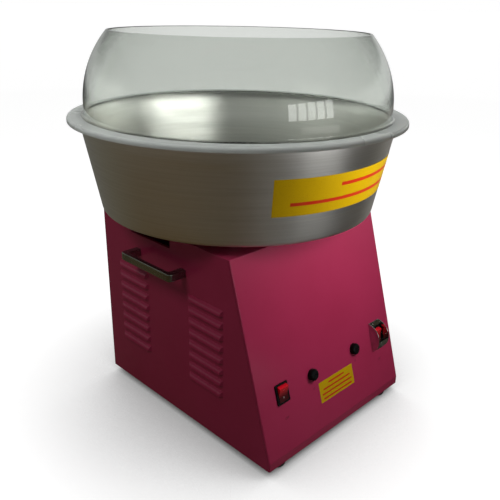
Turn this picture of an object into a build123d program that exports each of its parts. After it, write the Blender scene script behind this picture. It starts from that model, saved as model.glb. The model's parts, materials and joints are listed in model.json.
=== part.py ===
from build123d import *

import os
from math import asin, atan2, cos, degrees, radians, sin, sqrt, tan

# Table-top cotton candy machine. Millimetres, +Z up, the front faces -Y.
# The origin is on the spinner's axis, at the level the feet stand on.

# ---------------------------------------------------------------- driving sizes

# Cabinet of folded sheet
cabinet_width = 325.0
cabinet_height = 299.5
cabinet_rear = 150.5  # rear face, behind the spinner's axis
top_front = 152.5  # front edge of the deck, ahead of the axis
bottom_front = 239.0  # front of the lip, ahead of the axis
lip_height = 13.5
sheet = 1.2
bend_radius = 8.0
corner_radius = 2.0
shoulder = 3.0  # how far the front and rear wrap round onto the sides
flange_depth = 12.0
seam = 0.4
tray_height = 13.0
rear_vent_length = 70.0
rear_vent_height = 4.0
rear_vent_pitch = 12.0
rear_vent_rows = 7
rear_vent_across = 90.0  # between the two columns
rear_vent_z = 158.0  # middle of the columns, above the feet
tray_vent_length = 90.0
tray_vent_width = 5.0
tray_vent_pitch = 16.0
tray_vent_count = 5

# Feet
foot_height = 13.0
foot_radius = 12.0
foot_inset_side = 34.0
foot_inset_end = 16.0
foot_screw_radius = 2.0
foot_round = 4.8
screw_head = 2.0  # head radius over shank radius
nut_depth = 1.6  # nut height over shank radius

# Louvres, slot and handle in the side panels
louvre_length = 76.0
louvre_reach = 4.5
louvre_height = 9.0
louvre_bow = 1.0
louvre_pitch = 19.0
louvre_rows = 8
louvre_low = 91.0  # mouth of the lowest row, above the feet
louvre_front_y = -104.0
louvre_rear_y = 71.0
slot_length = 100.0
slot_height = 14.0
slot_y = 25.0
slot_below_deck = 14.0  # slot's centre line below the deck
hem_depth = 5.0
handle_span = 122.0
handle_bar = 12.0
handle_thickness = 8.0
handle_gap = 22.0
handle_below_deck = 49.5
handle_bend = 6.0
handle_screw_radius = 2.5
handle_screw_reach = 11.0
handle_hole_depth = 15.4

# Controls on the front, by place across and place up the slope
power_inset = 49.0  # from the cabinet's left side
power_up = 88.5
heat_inset = 42.0  # from the cabinet's right side
heat_up = 91.0
left_fuse_x = -47.0
left_fuse_up = 89.5
right_fuse_x = 58.0
right_fuse_up = 91.0
bezel_width = 25.5
bezel_length = 31.0
bezel_thickness = 2.0
switch_width = 22.0
switch_length = 28.4
switch_depth = 15.0
well_depth = 10.5  # behind the panel's face
bezel_round = 0.8
tab_length = 8.0
tab_width = 4.8
tab_thickness = 0.8
tab_across = 11.0
tab_along = 8.0
cut_clearance = 0.3
rocker_width = 18.0
rocker_radius = 12.6
rocker_tilt = 12.0  # each way from the middle, in degrees
rocker_crown = 3.6  # the rocker's valley above its pivot
rocker_clearance = 0.35
skirt_angle = 25.0  # how far round the rocker's ends go below its pivot
keel_half = 3.4
keel_depth = 6.9
pivot_depth = 1.0  # pivot below the bezel's seat
pivot_radius = 1.5
running_fit = 0.05
guard_length = 50.0
guard_reach = 17.5
guard_sheet = 1.2
fuse_cap_radius = 9.0
fuse_cap_height = 6.5
fuse_flange = 1.5
fuse_barrel_radius = 6.2
fuse_barrel_depth = 24.0
fuse_bore_radius = 4.4
fuse_radius = 2.6
fuse_length = 20.0
fuse_stem = 8.0
fuse_cap_round = 3.6
fuse_slot_length = 9.9
fuse_nut_height = 3.1

# Bowl, its seats and the dome
bowl_gap = 15.0  # bowl floor above the deck
bowl_depth = 138.7
bowl_flare = 26.4  # rim radius over bottom radius
bowl_rim_radius = 243.0
bowl_hole_radius = 82.0
bowl_neck = 7.0
bowl_neck_bend = 4.0
bowl_corner = 8.0
bowl_wall = 1.5
bead_radius = 3.0
seat_circle = 150.0
seat_radius = 11.0
peg_radius = 4.0
peg_height = 6.0
peg_taper = 12.0
rest_gap = 0.3
dome_overhang = 17.0  # flange past the bowl's rim
dome_flange_width = 25.0
dome_lip = 7.0
dome_wall = 2.5
dome_straight = 14.0
dome_arc = 158.0
dome_mouth_inset = 39.5  # mouth radius under the wall's radius
turn_radius = 4.0

# Motor and its mounting
mount_height = 22.0
mount_radius = 10.0
mount_spread = 120.0
mount_bolt_radius = 2.5
plate_side = 150.0
plate_thickness = 3.0
motor_radius = 45.0
can_height = 60.0
bell_height = 14.0
bell_wall = 3.0
stator_bore = 27.0
air_gap = 0.7
shaft_radius = 5.0
bearing_radius = 13.0
bearing_width = 8.0
bearing_fit = 0.02
fan_radius = 38.0
fan_height = 12.0
fan_hub_radius = 10.0
fan_blades = 6
blade_height = 10.8
bolt_circle = 36.0
bolt_count = 4
bell_vents = 8
bell_vent_length = 18.0
bell_vent_width = 6.0

# Slip rings and brushes
hub_radius = 13.0
hub_height = 20.0
ring_radius = 17.0
ring_height = 5.0
ring_gap = 4.0
brush_side = 4.0
brush_guide_length = 22.0
feed_radius = 1.5
feed_circle = 10.2
feed_eye = 1.3  # radial land of a lead round its rod, over the rod's radius
brush_length = 15.2

# Spinner head
head_lift = 18.5  # head floor above the bowl floor
head_radius = 70.0
head_height = 52.0
head_floor = 3.0
head_rim = 15.0
boss_radius = 15.0
boss_height = 7.0
head_nut_radius = 8.0
band_wall = 0.9
band_slots = 36
band_slot_width = 2.4
ribbon_radius = 60.0
ribbon_wall = 0.8
ribbon_height = 18.0
ribbon_folds = 18
ribbon_slit = 2.0
post_radius = 3.2
post_count = 6
lid_wall = 1.5
lid_brim = 12.0
mouth_radius = 32.0
mouth_collar = 5.0
deck_hole_radius = 32.0
deck_collar = 8.0

# Electrical parts
inlet_inset = 67.5  # from the cabinet's left side
inlet_z = 62.0
inlet_flange_width = 50.0
inlet_flange_height = 26.0
inlet_width = 27.0
inlet_height = 20.0
inlet_depth = 22.0
inlet_screws = 40.0
inlet_screw_radius = 1.7
pin_width = 2.0
pin_height = 4.0
pin_places = ((-7.0, -2.0), (7.0, -2.0), (0.0, 2.0))
inlet_tab_height = 6.0
inlet_tab_length = 9.0
socket_corner = 4.5
socket_width = 24.0
socket_height = 15.6
socket_depth = 17.0
capacitor_radius = 16.0
capacitor_length = 58.0
capacitor_x = -80.0
capacitor_y = 20.0
clip_width = 10.0
block_x = 70.0
block_y = 60.0
block_length = 60.0
block_width = 22.0
block_base = 8.0
block_tower = 7.0
block_pitch = 12.0
block_ways = 5
way_length = 8.0
way_width = 14.0

# ---------------------------------------------------------------- derived places

half_width = cabinet_width / 2
power_x = power_inset - half_width
heat_x = half_width - heat_inset
inlet_x = inlet_inset - half_width
floor_z = foot_height
deck_z = floor_z + cabinet_height
deck_under = deck_z - sheet
lip_z = floor_z + lip_height
tray_top = floor_z + sheet
slope = atan2(bottom_front - top_front, cabinet_height - lip_height)
handle_z = deck_z - handle_below_deck
slot_z = deck_z - slot_below_deck
bowl_z = deck_z + bowl_gap
rim_z = bowl_z + bowl_depth
bowl_bottom_radius = bowl_rim_radius - bowl_flare
dome_flange_radius = bowl_rim_radius + dome_overhang
dome_radius = dome_flange_radius - dome_flange_width
dome_mouth_radius = dome_radius - dome_mouth_inset
flange_under = rim_z + bead_radius + rest_gap
flange_top = flange_under + dome_wall
plate_top = deck_under - mount_height
plate_under = plate_top - plate_thickness
can_top = plate_under - bell_height
can_bottom = can_top - can_height
motor_bottom = can_bottom - bell_height
hub_z = plate_top + 3 * seam
head_z = bowl_z + head_lift
head_top = head_z + head_height
lid_z = head_top - lid_wall - mouth_collar - lid_brim
boss_top = head_z + boss_height
rocker_half = rocker_radius + rocker_clearance

front_plane = Plane(
    origin=(0, -bottom_front, lip_z),
    x_dir=(1, 0, 0),
    z_dir=(0, -cos(slope), sin(slope)),
)


def on_front(across, up, out=0.0):
    """Plane parallel to the sloping face, centred on a control."""
    centre = front_plane.from_local_coords((across, up, out))
    return Plane(origin=centre, x_dir=front_plane.x_dir, z_dir=front_plane.z_dir)


def front_path(depth, top):
    """Corners of the front's side outline, at a depth behind its outer face."""
    knee = (-bottom_front + depth, lip_z - depth * tan(slope / 2))
    head = (-top_front + depth / cos(slope) - (deck_z - top) * tan(slope), top)
    return [(-bottom_front + depth, floor_z), knee, head]


def knee_radius(depth):
    """Bend radius of the front at a depth behind its outer face."""
    return max(bend_radius - depth, sheet)


def front_band(near, far, top, at=0.0):
    """Side section of the front between two depths, on the plane X = at."""
    with BuildSketch(Plane.YZ.offset(at)) as band:
        with BuildLine():
            outer = FilletPolyline(*front_path(near, top), radius=knee_radius(near))
            inner = FilletPolyline(*front_path(far, top), radius=knee_radius(far))
            Line(outer @ 0, inner @ 0)
            Line(outer @ 1, inner @ 1)
        make_face()
    return band.sketch


def ring_part(inner, outer, low, high):
    """Plain round ring between two radii and two levels."""
    with BuildPart() as ring:
        with BuildSketch(Plane.XY.offset(low)):
            Circle(outer)
            Circle(inner, mode=Mode.SUBTRACT)
        extrude(amount=high - low)
    return ring.part


# ---------------------------------------------------------------- cabinet

skin = front_band(0, flange_depth, deck_under)
hollow = front_band(sheet, flange_depth + sheet, deck_under)
left_trim = front_band(shoulder, flange_depth + sheet, deck_under, -half_width)
right_trim = front_band(shoulder, flange_depth + sheet, deck_under, half_width - sheet)

with BuildPart() as front_panel:
    extrude(skin, amount=half_width, both=True)
    outside = front_panel.faces().filter_by(lambda face: face.normal_at().Y < -0.5)
    corners = outside.edges().filter_by(
        lambda edge: abs(edge.center().X) > half_width - sheet
    )
    fillet(corners, corner_radius)
    extrude(hollow, amount=half_width - 2 * sheet, both=True, mode=Mode.SUBTRACT)
    extrude(left_trim, amount=sheet, mode=Mode.SUBTRACT)
    extrude(right_trim, amount=sheet, mode=Mode.SUBTRACT)
    # Notch that lets the base tray in behind the lip
    with BuildSketch(Plane.XY.offset(floor_z)):
        with Locations((0, -bottom_front + sheet + flange_depth)):
            Rectangle(cabinet_width - 2 * sheet, 2 * flange_depth)
    extrude(amount=tray_height, mode=Mode.SUBTRACT)
    # Cut-outs for the two switches and the two fuse holders
    with BuildSketch(front_plane):
        with Locations((power_x, power_up), (heat_x, heat_up)):
            Rectangle(switch_width + 2 * cut_clearance, switch_length + 2 * cut_clearance)
        with Locations((left_fuse_x, left_fuse_up), (right_fuse_x, right_fuse_up)):
            Circle(fuse_barrel_radius + cut_clearance)
    extrude(amount=-2 * sheet, mode=Mode.SUBTRACT)
front_panel.part.label = "front_panel"


def louvre_wedge(length, reach, height):
    """Raked wedge with a bowed back, mouth down, standing out towards -X."""
    chord = sqrt(height**2 + reach**2)
    crest = (
        -reach / 2 - louvre_bow * height / chord,
        height / 2 + louvre_bow * reach / chord,
    )
    with BuildPart() as wedge:
        with BuildSketch(Plane.XZ):
            with BuildLine():
                ThreePointArc((0, height), crest, (-reach, 0))
                Polyline((-reach, 0), (0, 0), (0, height))
            make_face()
        extrude(amount=length / 2, both=True)
        with BuildSketch(Plane.XY):
            with BuildLine():
                Polyline(
                    (sheet, length / 2),
                    (0, length / 2),
                    (-2 * reach, length / 2 - 2 * reach),
                    (-2 * reach, -length / 2 + 2 * reach),
                    (0, -length / 2),
                    (sheet, -length / 2),
                    close=True,
                )
            make_face()
        extrude(amount=height, mode=Mode.INTERSECT)
    return wedge.part


louvre_hood = louvre_wedge(louvre_length, louvre_reach, louvre_height)
throat_wedge = louvre_wedge(
    louvre_length - 2 * sheet, louvre_reach - sheet, louvre_height - sheet
)
with BuildPart() as louvre_throat:
    add(throat_wedge)
    with BuildSketch(Plane.YZ):
        Rectangle(
            louvre_length - 2 * louvre_reach,
            louvre_height - 2 * sheet,
            align=(Align.CENTER, Align.MIN),
        )
    extrude(amount=sheet)

louvre_places = [
    (-half_width, column, louvre_low + row * louvre_pitch)
    for column in (louvre_front_y, louvre_rear_y)
    for row in range(louvre_rows)
]
side_rear = cabinet_rear - shoulder - seam

with BuildPart() as left_side_panel:
    with BuildSketch(Plane.YZ.offset(-half_width)):
        with BuildLine():
            nose = FilletPolyline(
                *front_path(shoulder + seam, deck_under), radius=knee_radius(shoulder)
            )
            Polyline(nose @ 1, (side_rear, deck_under), (side_rear, floor_z), nose @ 0)
        make_face()
    extrude(amount=sheet)
    with Locations(*louvre_places):
        add(louvre_hood)
    with Locations(*louvre_places):
        add(louvre_throat.part, mode=Mode.SUBTRACT)
    # Slot with its hem turned inwards
    with BuildSketch(Plane.YZ.offset(-half_width)):
        with Locations((slot_y, slot_z)):
            RectangleRounded(slot_length + 2 * sheet, slot_height + 2 * sheet, corner_radius + sheet)
    extrude(amount=hem_depth)
    with BuildSketch(Plane.YZ.offset(-half_width)):
        with Locations((slot_y, slot_z)):
            RectangleRounded(slot_length, slot_height, corner_radius)
    extrude(amount=hem_depth, mode=Mode.SUBTRACT)
    # Holes for the handle's screws
    with BuildSketch(Plane.YZ.offset(-half_width)):
        with Locations((0, handle_z)):
            with GridLocations(handle_span - handle_bar, 0, 2, 1):
                Circle(handle_screw_radius + cut_clearance)
    extrude(amount=sheet, mode=Mode.SUBTRACT)
left_side_panel.part.label = "left_side_panel"

with BuildPart() as right_side_panel:
    mirror(left_side_panel.part, about=Plane.YZ)
right_side_panel.part.label = "right_side_panel"

rear_plane = Plane(origin=(0, cabinet_rear, floor_z), x_dir=(-1, 0, 0), z_dir=(0, 1, 0))
flange_y = cabinet_rear - flange_depth / 2

with BuildPart() as rear_panel:
    with BuildSketch(Plane.XY.offset(floor_z)):
        with Locations((0, flange_y)):
            Rectangle(cabinet_width, flange_depth)
    extrude(amount=deck_under - floor_z)
    fillet(rear_panel.edges().filter_by(Axis.Z).group_by(Axis.Y)[-1], corner_radius)
    with BuildSketch(Plane.XY.offset(floor_z)):
        with Locations((0, flange_y - sheet)):
            Rectangle(cabinet_width - 4 * sheet, flange_depth)
        with Locations((0, flange_y - shoulder)):
            with GridLocations(cabinet_width - sheet, 0, 2, 1):
                Rectangle(sheet, flange_depth)
    extrude(amount=deck_under - floor_z, mode=Mode.SUBTRACT)
    with BuildSketch(Plane.XY.offset(floor_z)):
        with Locations((0, flange_y - sheet)):
            Rectangle(cabinet_width - 2 * sheet, flange_depth)
    extrude(amount=tray_height, mode=Mode.SUBTRACT)
    # Cooling slots and the inlet's cut-out
    with BuildSketch(rear_plane):
        with Locations((0, rear_vent_z - foot_height)):
            with GridLocations(rear_vent_across, rear_vent_pitch, 2, rear_vent_rows):
                SlotOverall(rear_vent_length, rear_vent_height)
        with Locations((-inlet_x, inlet_z)):
            Rectangle(inlet_width + 2 * cut_clearance, inlet_height + 2 * cut_clearance)
    extrude(amount=-2 * sheet, mode=Mode.SUBTRACT)
rear_panel.part.label = "rear_panel"

deck_flange = slot_below_deck - slot_height / 2 - 2 * sheet - seam
seat_side = seat_circle * sin(radians(45))
seat_spots = [(x * seat_side, y * seat_side) for x in (-1, 1) for y in (-1, 1)]
mount_spots = [(x * mount_spread / 2, y * mount_spread / 2) for x in (-1, 1) for y in (-1, 1)]

with BuildPart() as top_deck:
    with BuildSketch(Plane.YZ):
        with BuildLine():
            Polyline(
                (-top_front, deck_z),
                (-top_front - sheet * tan(slope), deck_under),
                (cabinet_rear, deck_under),
                (cabinet_rear, deck_z),
                close=True,
            )
        make_face()
    extrude(amount=half_width, both=True)
    upright = top_deck.edges().filter_by(
        lambda edge: edge.length < 2 * sheet and abs(edge.center().X) > half_width - sheet
    )
    fillet(upright, corner_radius)
    fillet(top_deck.faces().sort_by(Axis.Z)[-1].edges(), sheet / 2)
    # Side flanges turned down inside the side panels
    flange_front = -top_front + 2 * flange_depth
    flange_back = cabinet_rear - 2 * flange_depth
    with BuildSketch(Plane.XY.offset(deck_under)):
        with Locations((0, (flange_front + flange_back) / 2)):
            with GridLocations(cabinet_width - 3 * sheet, 0, 2, 1):
                Rectangle(sheet, flange_back - flange_front)
    extrude(amount=-deck_flange)
    # Collar that keeps sugar out of the motor bay
    add(ring_part(deck_hole_radius, deck_hole_radius + sheet, deck_under, deck_z + deck_collar))
    with BuildSketch(Plane.XY.offset(deck_z + deck_collar)):
        Circle(deck_hole_radius)
        with Locations(*seat_spots):
            Circle(peg_radius - sheet / 2)
        with Locations(*mount_spots):
            Circle(mount_bolt_radius + cut_clearance)
    extrude(amount=-deck_collar - 2 * sheet, mode=Mode.SUBTRACT)
top_deck.part.label = "top_deck"

tray_front = -bottom_front + sheet
tray_back = cabinet_rear - sheet
tray_depth = tray_back - tray_front
foot_front = -bottom_front + foot_inset_end
foot_back = cabinet_rear - foot_inset_end
foot_spots = [(x * (half_width - foot_inset_side), y) for x in (-1, 1) for y in (foot_front, foot_back)]

with BuildPart() as base_tray:
    with BuildSketch(Plane.XY.offset(floor_z)):
        with Locations((0, (tray_front + tray_back) / 2)):
            Rectangle(cabinet_width - 2 * sheet, tray_depth)
    extrude(amount=tray_height)
    with BuildSketch(Plane.XY.offset(tray_top)):
        with Locations((0, (tray_front + tray_back) / 2)):
            Rectangle(cabinet_width - 4 * sheet, tray_depth - 2 * sheet)
    extrude(amount=tray_height, mode=Mode.SUBTRACT)
    with BuildSketch(Plane.XY.offset(floor_z)):
        with Locations(*foot_spots):
            Circle(foot_screw_radius + cut_clearance)
        with Locations((0, -bottom_front / 2)):
            with GridLocations(0, tray_vent_pitch, 1, tray_vent_count):
                SlotOverall(tray_vent_length, tray_vent_width)
    extrude(amount=sheet, mode=Mode.SUBTRACT)
base_tray.part.label = "base_tray"

# ---------------------------------------------------------------- feet

with BuildPart() as rubber_feet:
    with BuildSketch():
        with Locations(*foot_spots):
            Circle(foot_radius)
    extrude(amount=foot_height)
    fillet(rubber_feet.faces().group_by(Axis.Z)[0].edges(), foot_round)
    with BuildSketch():
        with Locations(*foot_spots):
            Circle(foot_screw_radius * screw_head + seam)
    extrude(amount=foot_height / 2, mode=Mode.SUBTRACT)
    with BuildSketch():
        with Locations(*foot_spots):
            Circle(foot_screw_radius + cut_clearance)
    extrude(amount=foot_height, mode=Mode.SUBTRACT)
rubber_feet.part.label = "rubber_feet"

foot_nut = foot_screw_radius * nut_depth
with BuildPart() as foot_screws:
    with BuildSketch(Plane.XY.offset(foot_height / 2 - foot_screw_radius)):
        with Locations(*foot_spots):
            Circle(foot_screw_radius * screw_head)
    extrude(amount=foot_screw_radius)
    with BuildSketch(Plane.XY.offset(foot_height / 2)):
        with Locations(*foot_spots):
            Circle(foot_screw_radius)
    extrude(amount=tray_top + foot_nut + sheet - foot_height / 2)
foot_screws.part.label = "foot_screws"

with BuildPart() as foot_nuts:
    with BuildSketch(Plane.XY.offset(tray_top)):
        with Locations(*foot_spots):
            RegularPolygon(foot_screw_radius * screw_head, 6)
        with Locations(*foot_spots):
            Circle(foot_screw_radius + running_fit, mode=Mode.SUBTRACT)
    extrude(amount=foot_nut)
foot_nuts.part.label = "foot_nuts"

# ---------------------------------------------------------------- carrying handles

def bow_path(reach, span, bend):
    """Bow of a handle seen from above, from the panel out and back again."""
    out = -half_width - reach
    return FilletPolyline(
        (-half_width, span / 2), (out, span / 2), (out, -span / 2), (-half_width, -span / 2), radius=bend
    )


with BuildPart() as left_handle:
    with BuildSketch(Plane.XY.offset(handle_z - handle_bar / 2)):
        with BuildLine():
            outer_bow = bow_path(handle_gap + handle_thickness, handle_span, handle_bend)
            inner_bow = bow_path(handle_gap, handle_span - 2 * handle_bar, handle_bend / 2)
            Line(outer_bow @ 0, inner_bow @ 0)
            Line(outer_bow @ 1, inner_bow @ 1)
        make_face()
    extrude(amount=handle_bar)
    for face in (left_handle.faces().sort_by(Axis.Z)[0], left_handle.faces().sort_by(Axis.Z)[-1]):
        long_edges = face.edges().filter_by(lambda edge: edge.center().X < -half_width - sheet)
        fillet(long_edges, sheet)
    with BuildSketch(Plane.YZ.offset(-half_width)):
        with Locations((0, handle_z)):
            with GridLocations(handle_span - handle_bar, 0, 2, 1):
                Circle(handle_screw_radius)
    extrude(amount=-handle_hole_depth, mode=Mode.SUBTRACT)
left_handle.part.label = "left_handle"

with BuildPart() as right_handle:
    mirror(left_handle.part, about=Plane.YZ)
right_handle.part.label = "right_handle"

with BuildPart() as handle_screws:
    with BuildSketch(Plane.YZ.offset(-half_width + sheet)):
        with Locations((0, handle_z)):
            with GridLocations(handle_span - handle_bar, 0, 2, 1):
                Circle(handle_screw_radius * screw_head)
    extrude(amount=handle_screw_radius)
    with BuildSketch(Plane.YZ.offset(-half_width + sheet)):
        with Locations((0, handle_z)):
            with GridLocations(handle_span - handle_bar, 0, 2, 1):
                Circle(handle_screw_radius - running_fit)
    extrude(amount=-handle_screw_reach)
    mirror(about=Plane.YZ)
handle_screws.part.label = "handle_screws"

# ---------------------------------------------------------------- rocker switches

steep = tan(radians(rocker_tilt))
flat_end = (
    sqrt(rocker_radius**2 * (1 + steep**2) - rocker_crown**2) - rocker_crown * steep
) / (1 + steep**2)
flat_rise = rocker_crown + flat_end * steep
skirt_out = rocker_radius * cos(radians(skirt_angle))
skirt_low = -rocker_radius * sin(radians(skirt_angle))


def side_plane(seat, tilt=0.0):
    """Plane across a switch on its pivot, X up the slope, tilted about the pivot."""
    centre = seat.from_local_coords((0, 0, -pivot_depth))
    turn = radians(tilt)
    return Plane(
        origin=centre,
        x_dir=seat.y_dir * cos(turn) + seat.z_dir * sin(turn),
        z_dir=seat.x_dir,
    )


def switch_housing(seat):
    """Black housing: bezel, body behind the panel and the well the rocker tilts in."""
    with BuildPart() as housing:
        with BuildSketch(seat):
            RectangleRounded(bezel_width, bezel_length, corner_radius)
        extrude(amount=bezel_thickness)
        rim = housing.edges().filter_by(lambda edge: seat.to_local_coords(edge.center()).Z > sheet)
        fillet(rim, bezel_round)
        with BuildSketch(seat):
            Rectangle(switch_width, switch_length)
        extrude(amount=-switch_depth)
        with BuildSketch(seat.offset(bezel_thickness)):
            Rectangle(rocker_width + 2 * rocker_clearance, 2 * rocker_half)
        extrude(amount=-well_depth - bezel_thickness, mode=Mode.SUBTRACT)
        with BuildSketch(side_plane(seat)):
            Circle(pivot_radius + running_fit)
        extrude(amount=switch_width / 2, both=True, mode=Mode.SUBTRACT)
    return housing.part


def switch_rocker(seat):
    """Rocker with a shallow valley, drawn in the OFF position: lower end pressed in."""
    across = side_plane(seat, rocker_tilt)
    with BuildPart() as rocker:
        with BuildSketch(across):
            with BuildLine():
                Polyline((-flat_end, flat_rise), (0, rocker_crown), (flat_end, flat_rise))
                ThreePointArc((flat_end, flat_rise), (rocker_radius, 0), (skirt_out, skirt_low))
                Polyline(
                    (skirt_out, skirt_low),
                    (keel_half, -keel_depth),
                    (-keel_half, -keel_depth),
                    (-skirt_out, skirt_low),
                )
                ThreePointArc((-skirt_out, skirt_low), (-rocker_radius, 0), (-flat_end, flat_rise))
            make_face()
        extrude(amount=rocker_width / 2, both=True)
        with BuildSketch(across):
            Circle(pivot_radius)
        extrude(amount=switch_width / 2 - running_fit, both=True)
    return rocker.part


power_seat = on_front(power_x, power_up)
heat_seat = on_front(heat_x, heat_up, guard_sheet)

with BuildPart() as power_switch_housing:
    add(switch_housing(power_seat))
power_switch_housing.part.label = "power_switch_housing"

with BuildPart() as heat_switch_housing:
    add(switch_housing(heat_seat))
heat_switch_housing.part.label = "heat_switch_housing"

with BuildPart() as power_rocker:
    add(switch_rocker(power_seat))
power_rocker.part.label = "power_rocker"

with BuildPart() as heat_rocker:
    add(switch_rocker(heat_seat))
heat_rocker.part.label = "heat_rocker"

with BuildPart() as switch_terminals:
    for seat in (power_seat, heat_seat):
        with BuildSketch(seat.offset(-switch_depth)):
            with GridLocations(tab_across, tab_along, 2, 2):
                Rectangle(tab_thickness, tab_width)
        extrude(amount=-tab_length)
switch_terminals.part.label = "switch_terminals"

guard_width = bezel_width + 2 * (guard_sheet + rocker_clearance / 2)
guard_seat = on_front(heat_x, heat_up)
with BuildPart() as switch_guard:
    with BuildSketch(guard_seat):
        Rectangle(guard_width, guard_length)
    extrude(amount=guard_sheet)
    for ear_x in (-guard_width / 2, guard_width / 2 - guard_sheet):
        ear_plane = Plane(
            origin=guard_seat.from_local_coords((ear_x, 0, 0)),
            x_dir=guard_seat.y_dir,
            z_dir=guard_seat.x_dir,
        )
        with BuildSketch(ear_plane):
            with BuildLine():
                ThreePointArc((-guard_length / 2, 0), (0, guard_reach), (guard_length / 2, 0))
                Line((guard_length / 2, 0), (-guard_length / 2, 0))
            make_face()
        extrude(amount=guard_sheet)
    with BuildSketch(guard_seat):
        Rectangle(switch_width + 2 * cut_clearance, switch_length + 2 * cut_clearance)
    extrude(amount=guard_sheet, mode=Mode.SUBTRACT)
switch_guard.part.label = "switch_guard"

# ---------------------------------------------------------------- fuse holders

cap_bore = fuse_radius + running_fit
cap_stem = fuse_bore_radius - running_fit


def fuse_holder(seat):
    """Threaded barrel through the panel with a thin flange in front."""
    with BuildPart() as holder:
        with BuildSketch(seat):
            Circle(fuse_cap_radius)
        extrude(amount=fuse_flange)
        with BuildSketch(seat):
            Circle(fuse_barrel_radius)
        extrude(amount=-fuse_barrel_depth)
        with BuildSketch(seat.offset(fuse_flange)):
            Circle(fuse_bore_radius)
        extrude(amount=-fuse_flange - fuse_length, mode=Mode.SUBTRACT)
    return holder.part


def fuse_cap(seat):
    """Domed bayonet cap with a hollow stem that grips one end of the fuse."""
    with BuildPart() as cap:
        with BuildSketch(seat.offset(fuse_flange + rest_gap)):
            Circle(fuse_cap_radius)
        extrude(amount=fuse_cap_height)
        top = cap.edges().filter_by(GeomType.CIRCLE).sort_by(
            lambda edge: seat.to_local_coords(edge.center()).Z
        )
        fillet(top[-1], fuse_cap_round)
        with BuildSketch(seat.offset(fuse_flange + rest_gap)):
            Circle(cap_stem)
        extrude(amount=-fuse_stem)
        with BuildSketch(seat.offset(fuse_flange)):
            Circle(cap_bore)
        extrude(amount=-fuse_stem, mode=Mode.SUBTRACT)
        with BuildSketch(seat.offset(fuse_flange + rest_gap + fuse_cap_height)):
            Rectangle(fuse_slot_length, sheet)
        extrude(amount=-sheet, mode=Mode.SUBTRACT)
    return cap.part


def fuse_cartridge(seat):
    """Glass fuse whose front end sits in the cap's stem."""
    with BuildPart() as cartridge:
        with BuildSketch(seat.offset(fuse_flange)):
            Circle(fuse_radius)
        extrude(amount=-fuse_length)
    return cartridge.part


def holder_nut(seat):
    """Hexagon nut on the barrel, behind the panel."""
    with BuildPart() as nut:
        with BuildSketch(seat.offset(-sheet)):
            RegularPolygon(fuse_cap_radius, 6)
            Circle(fuse_barrel_radius + running_fit, mode=Mode.SUBTRACT)
        extrude(amount=-fuse_nut_height)
    return nut.part


left_fuse_seat = on_front(left_fuse_x, left_fuse_up)
right_fuse_seat = on_front(right_fuse_x, right_fuse_up)

with BuildPart() as left_fuse_holder:
    add(fuse_holder(left_fuse_seat))
left_fuse_holder.part.label = "left_fuse_holder"

with BuildPart() as right_fuse_holder:
    add(fuse_holder(right_fuse_seat))
right_fuse_holder.part.label = "right_fuse_holder"

with BuildPart() as left_fuse_cap:
    add(fuse_cap(left_fuse_seat))
left_fuse_cap.part.label = "left_fuse_cap"

with BuildPart() as right_fuse_cap:
    add(fuse_cap(right_fuse_seat))
right_fuse_cap.part.label = "right_fuse_cap"

with BuildPart() as left_fuse_cartridge:
    add(fuse_cartridge(left_fuse_seat))
left_fuse_cartridge.part.label = "left_fuse_cartridge"

with BuildPart() as right_fuse_cartridge:
    add(fuse_cartridge(right_fuse_seat))
right_fuse_cartridge.part.label = "right_fuse_cartridge"

with BuildPart() as fuse_holder_nuts:
    add(holder_nut(left_fuse_seat))
    add(holder_nut(right_fuse_seat))
fuse_holder_nuts.part.label = "fuse_holder_nuts"

# ---------------------------------------------------------------- power inlet

inlet_plane = Plane(
    origin=(inlet_x, cabinet_rear, floor_z + inlet_z), x_dir=(-1, 0, 0), z_dir=(0, 1, 0)
)
inlet_face = inlet_plane.offset(shoulder)
with BuildPart() as power_inlet:
    with BuildSketch(inlet_plane):
        RectangleRounded(inlet_flange_width, inlet_flange_height, shoulder)
        with GridLocations(inlet_screws, 0, 2, 1):
            Circle(inlet_screw_radius, mode=Mode.SUBTRACT)
    extrude(amount=shoulder)
    with BuildSketch(inlet_plane):
        Rectangle(inlet_width, inlet_height)
    extrude(amount=-inlet_depth)
    with BuildSketch(inlet_face) as socket:
        Rectangle(socket_width, socket_height)
        chamfer(socket.vertices().group_by(Axis.Y)[-1], socket_corner)
    extrude(amount=-socket_depth, mode=Mode.SUBTRACT)
power_inlet.part.label = "power_inlet"

with BuildPart() as inlet_pins:
    with BuildSketch(inlet_face.offset(-socket_depth)):
        with Locations(*pin_places):
            Rectangle(pin_width, pin_height)
    extrude(amount=socket_depth - shoulder)
    with BuildSketch(inlet_plane.offset(-inlet_depth)):
        with Locations(*pin_places):
            Rectangle(tab_thickness, inlet_tab_height)
    extrude(amount=-inlet_tab_length)
inlet_pins.part.label = "inlet_pins"

# ---------------------------------------------------------------- bowl and its seats

with BuildPart() as bowl_seats:
    with BuildSketch(Plane.XY.offset(deck_z)):
        with Locations(*seat_spots):
            Circle(seat_radius)
    extrude(amount=bowl_gap - rest_gap)
    with BuildSketch(Plane.XY.offset(bowl_z - rest_gap)):
        with Locations(*seat_spots):
            Circle(peg_radius)
    extrude(amount=peg_height, taper=peg_taper)
    with BuildSketch(Plane.XY.offset(deck_z)):
        with Locations(*seat_spots):
            Circle(peg_radius - sheet)
    extrude(amount=-2 * sheet)
    with BuildSketch(Plane.XY.offset(deck_under)):
        with Locations(*seat_spots):
            Circle(peg_radius + sheet)
    extrude(amount=-2 * sheet)
bowl_seats.part.label = "bowl_seats"

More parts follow.
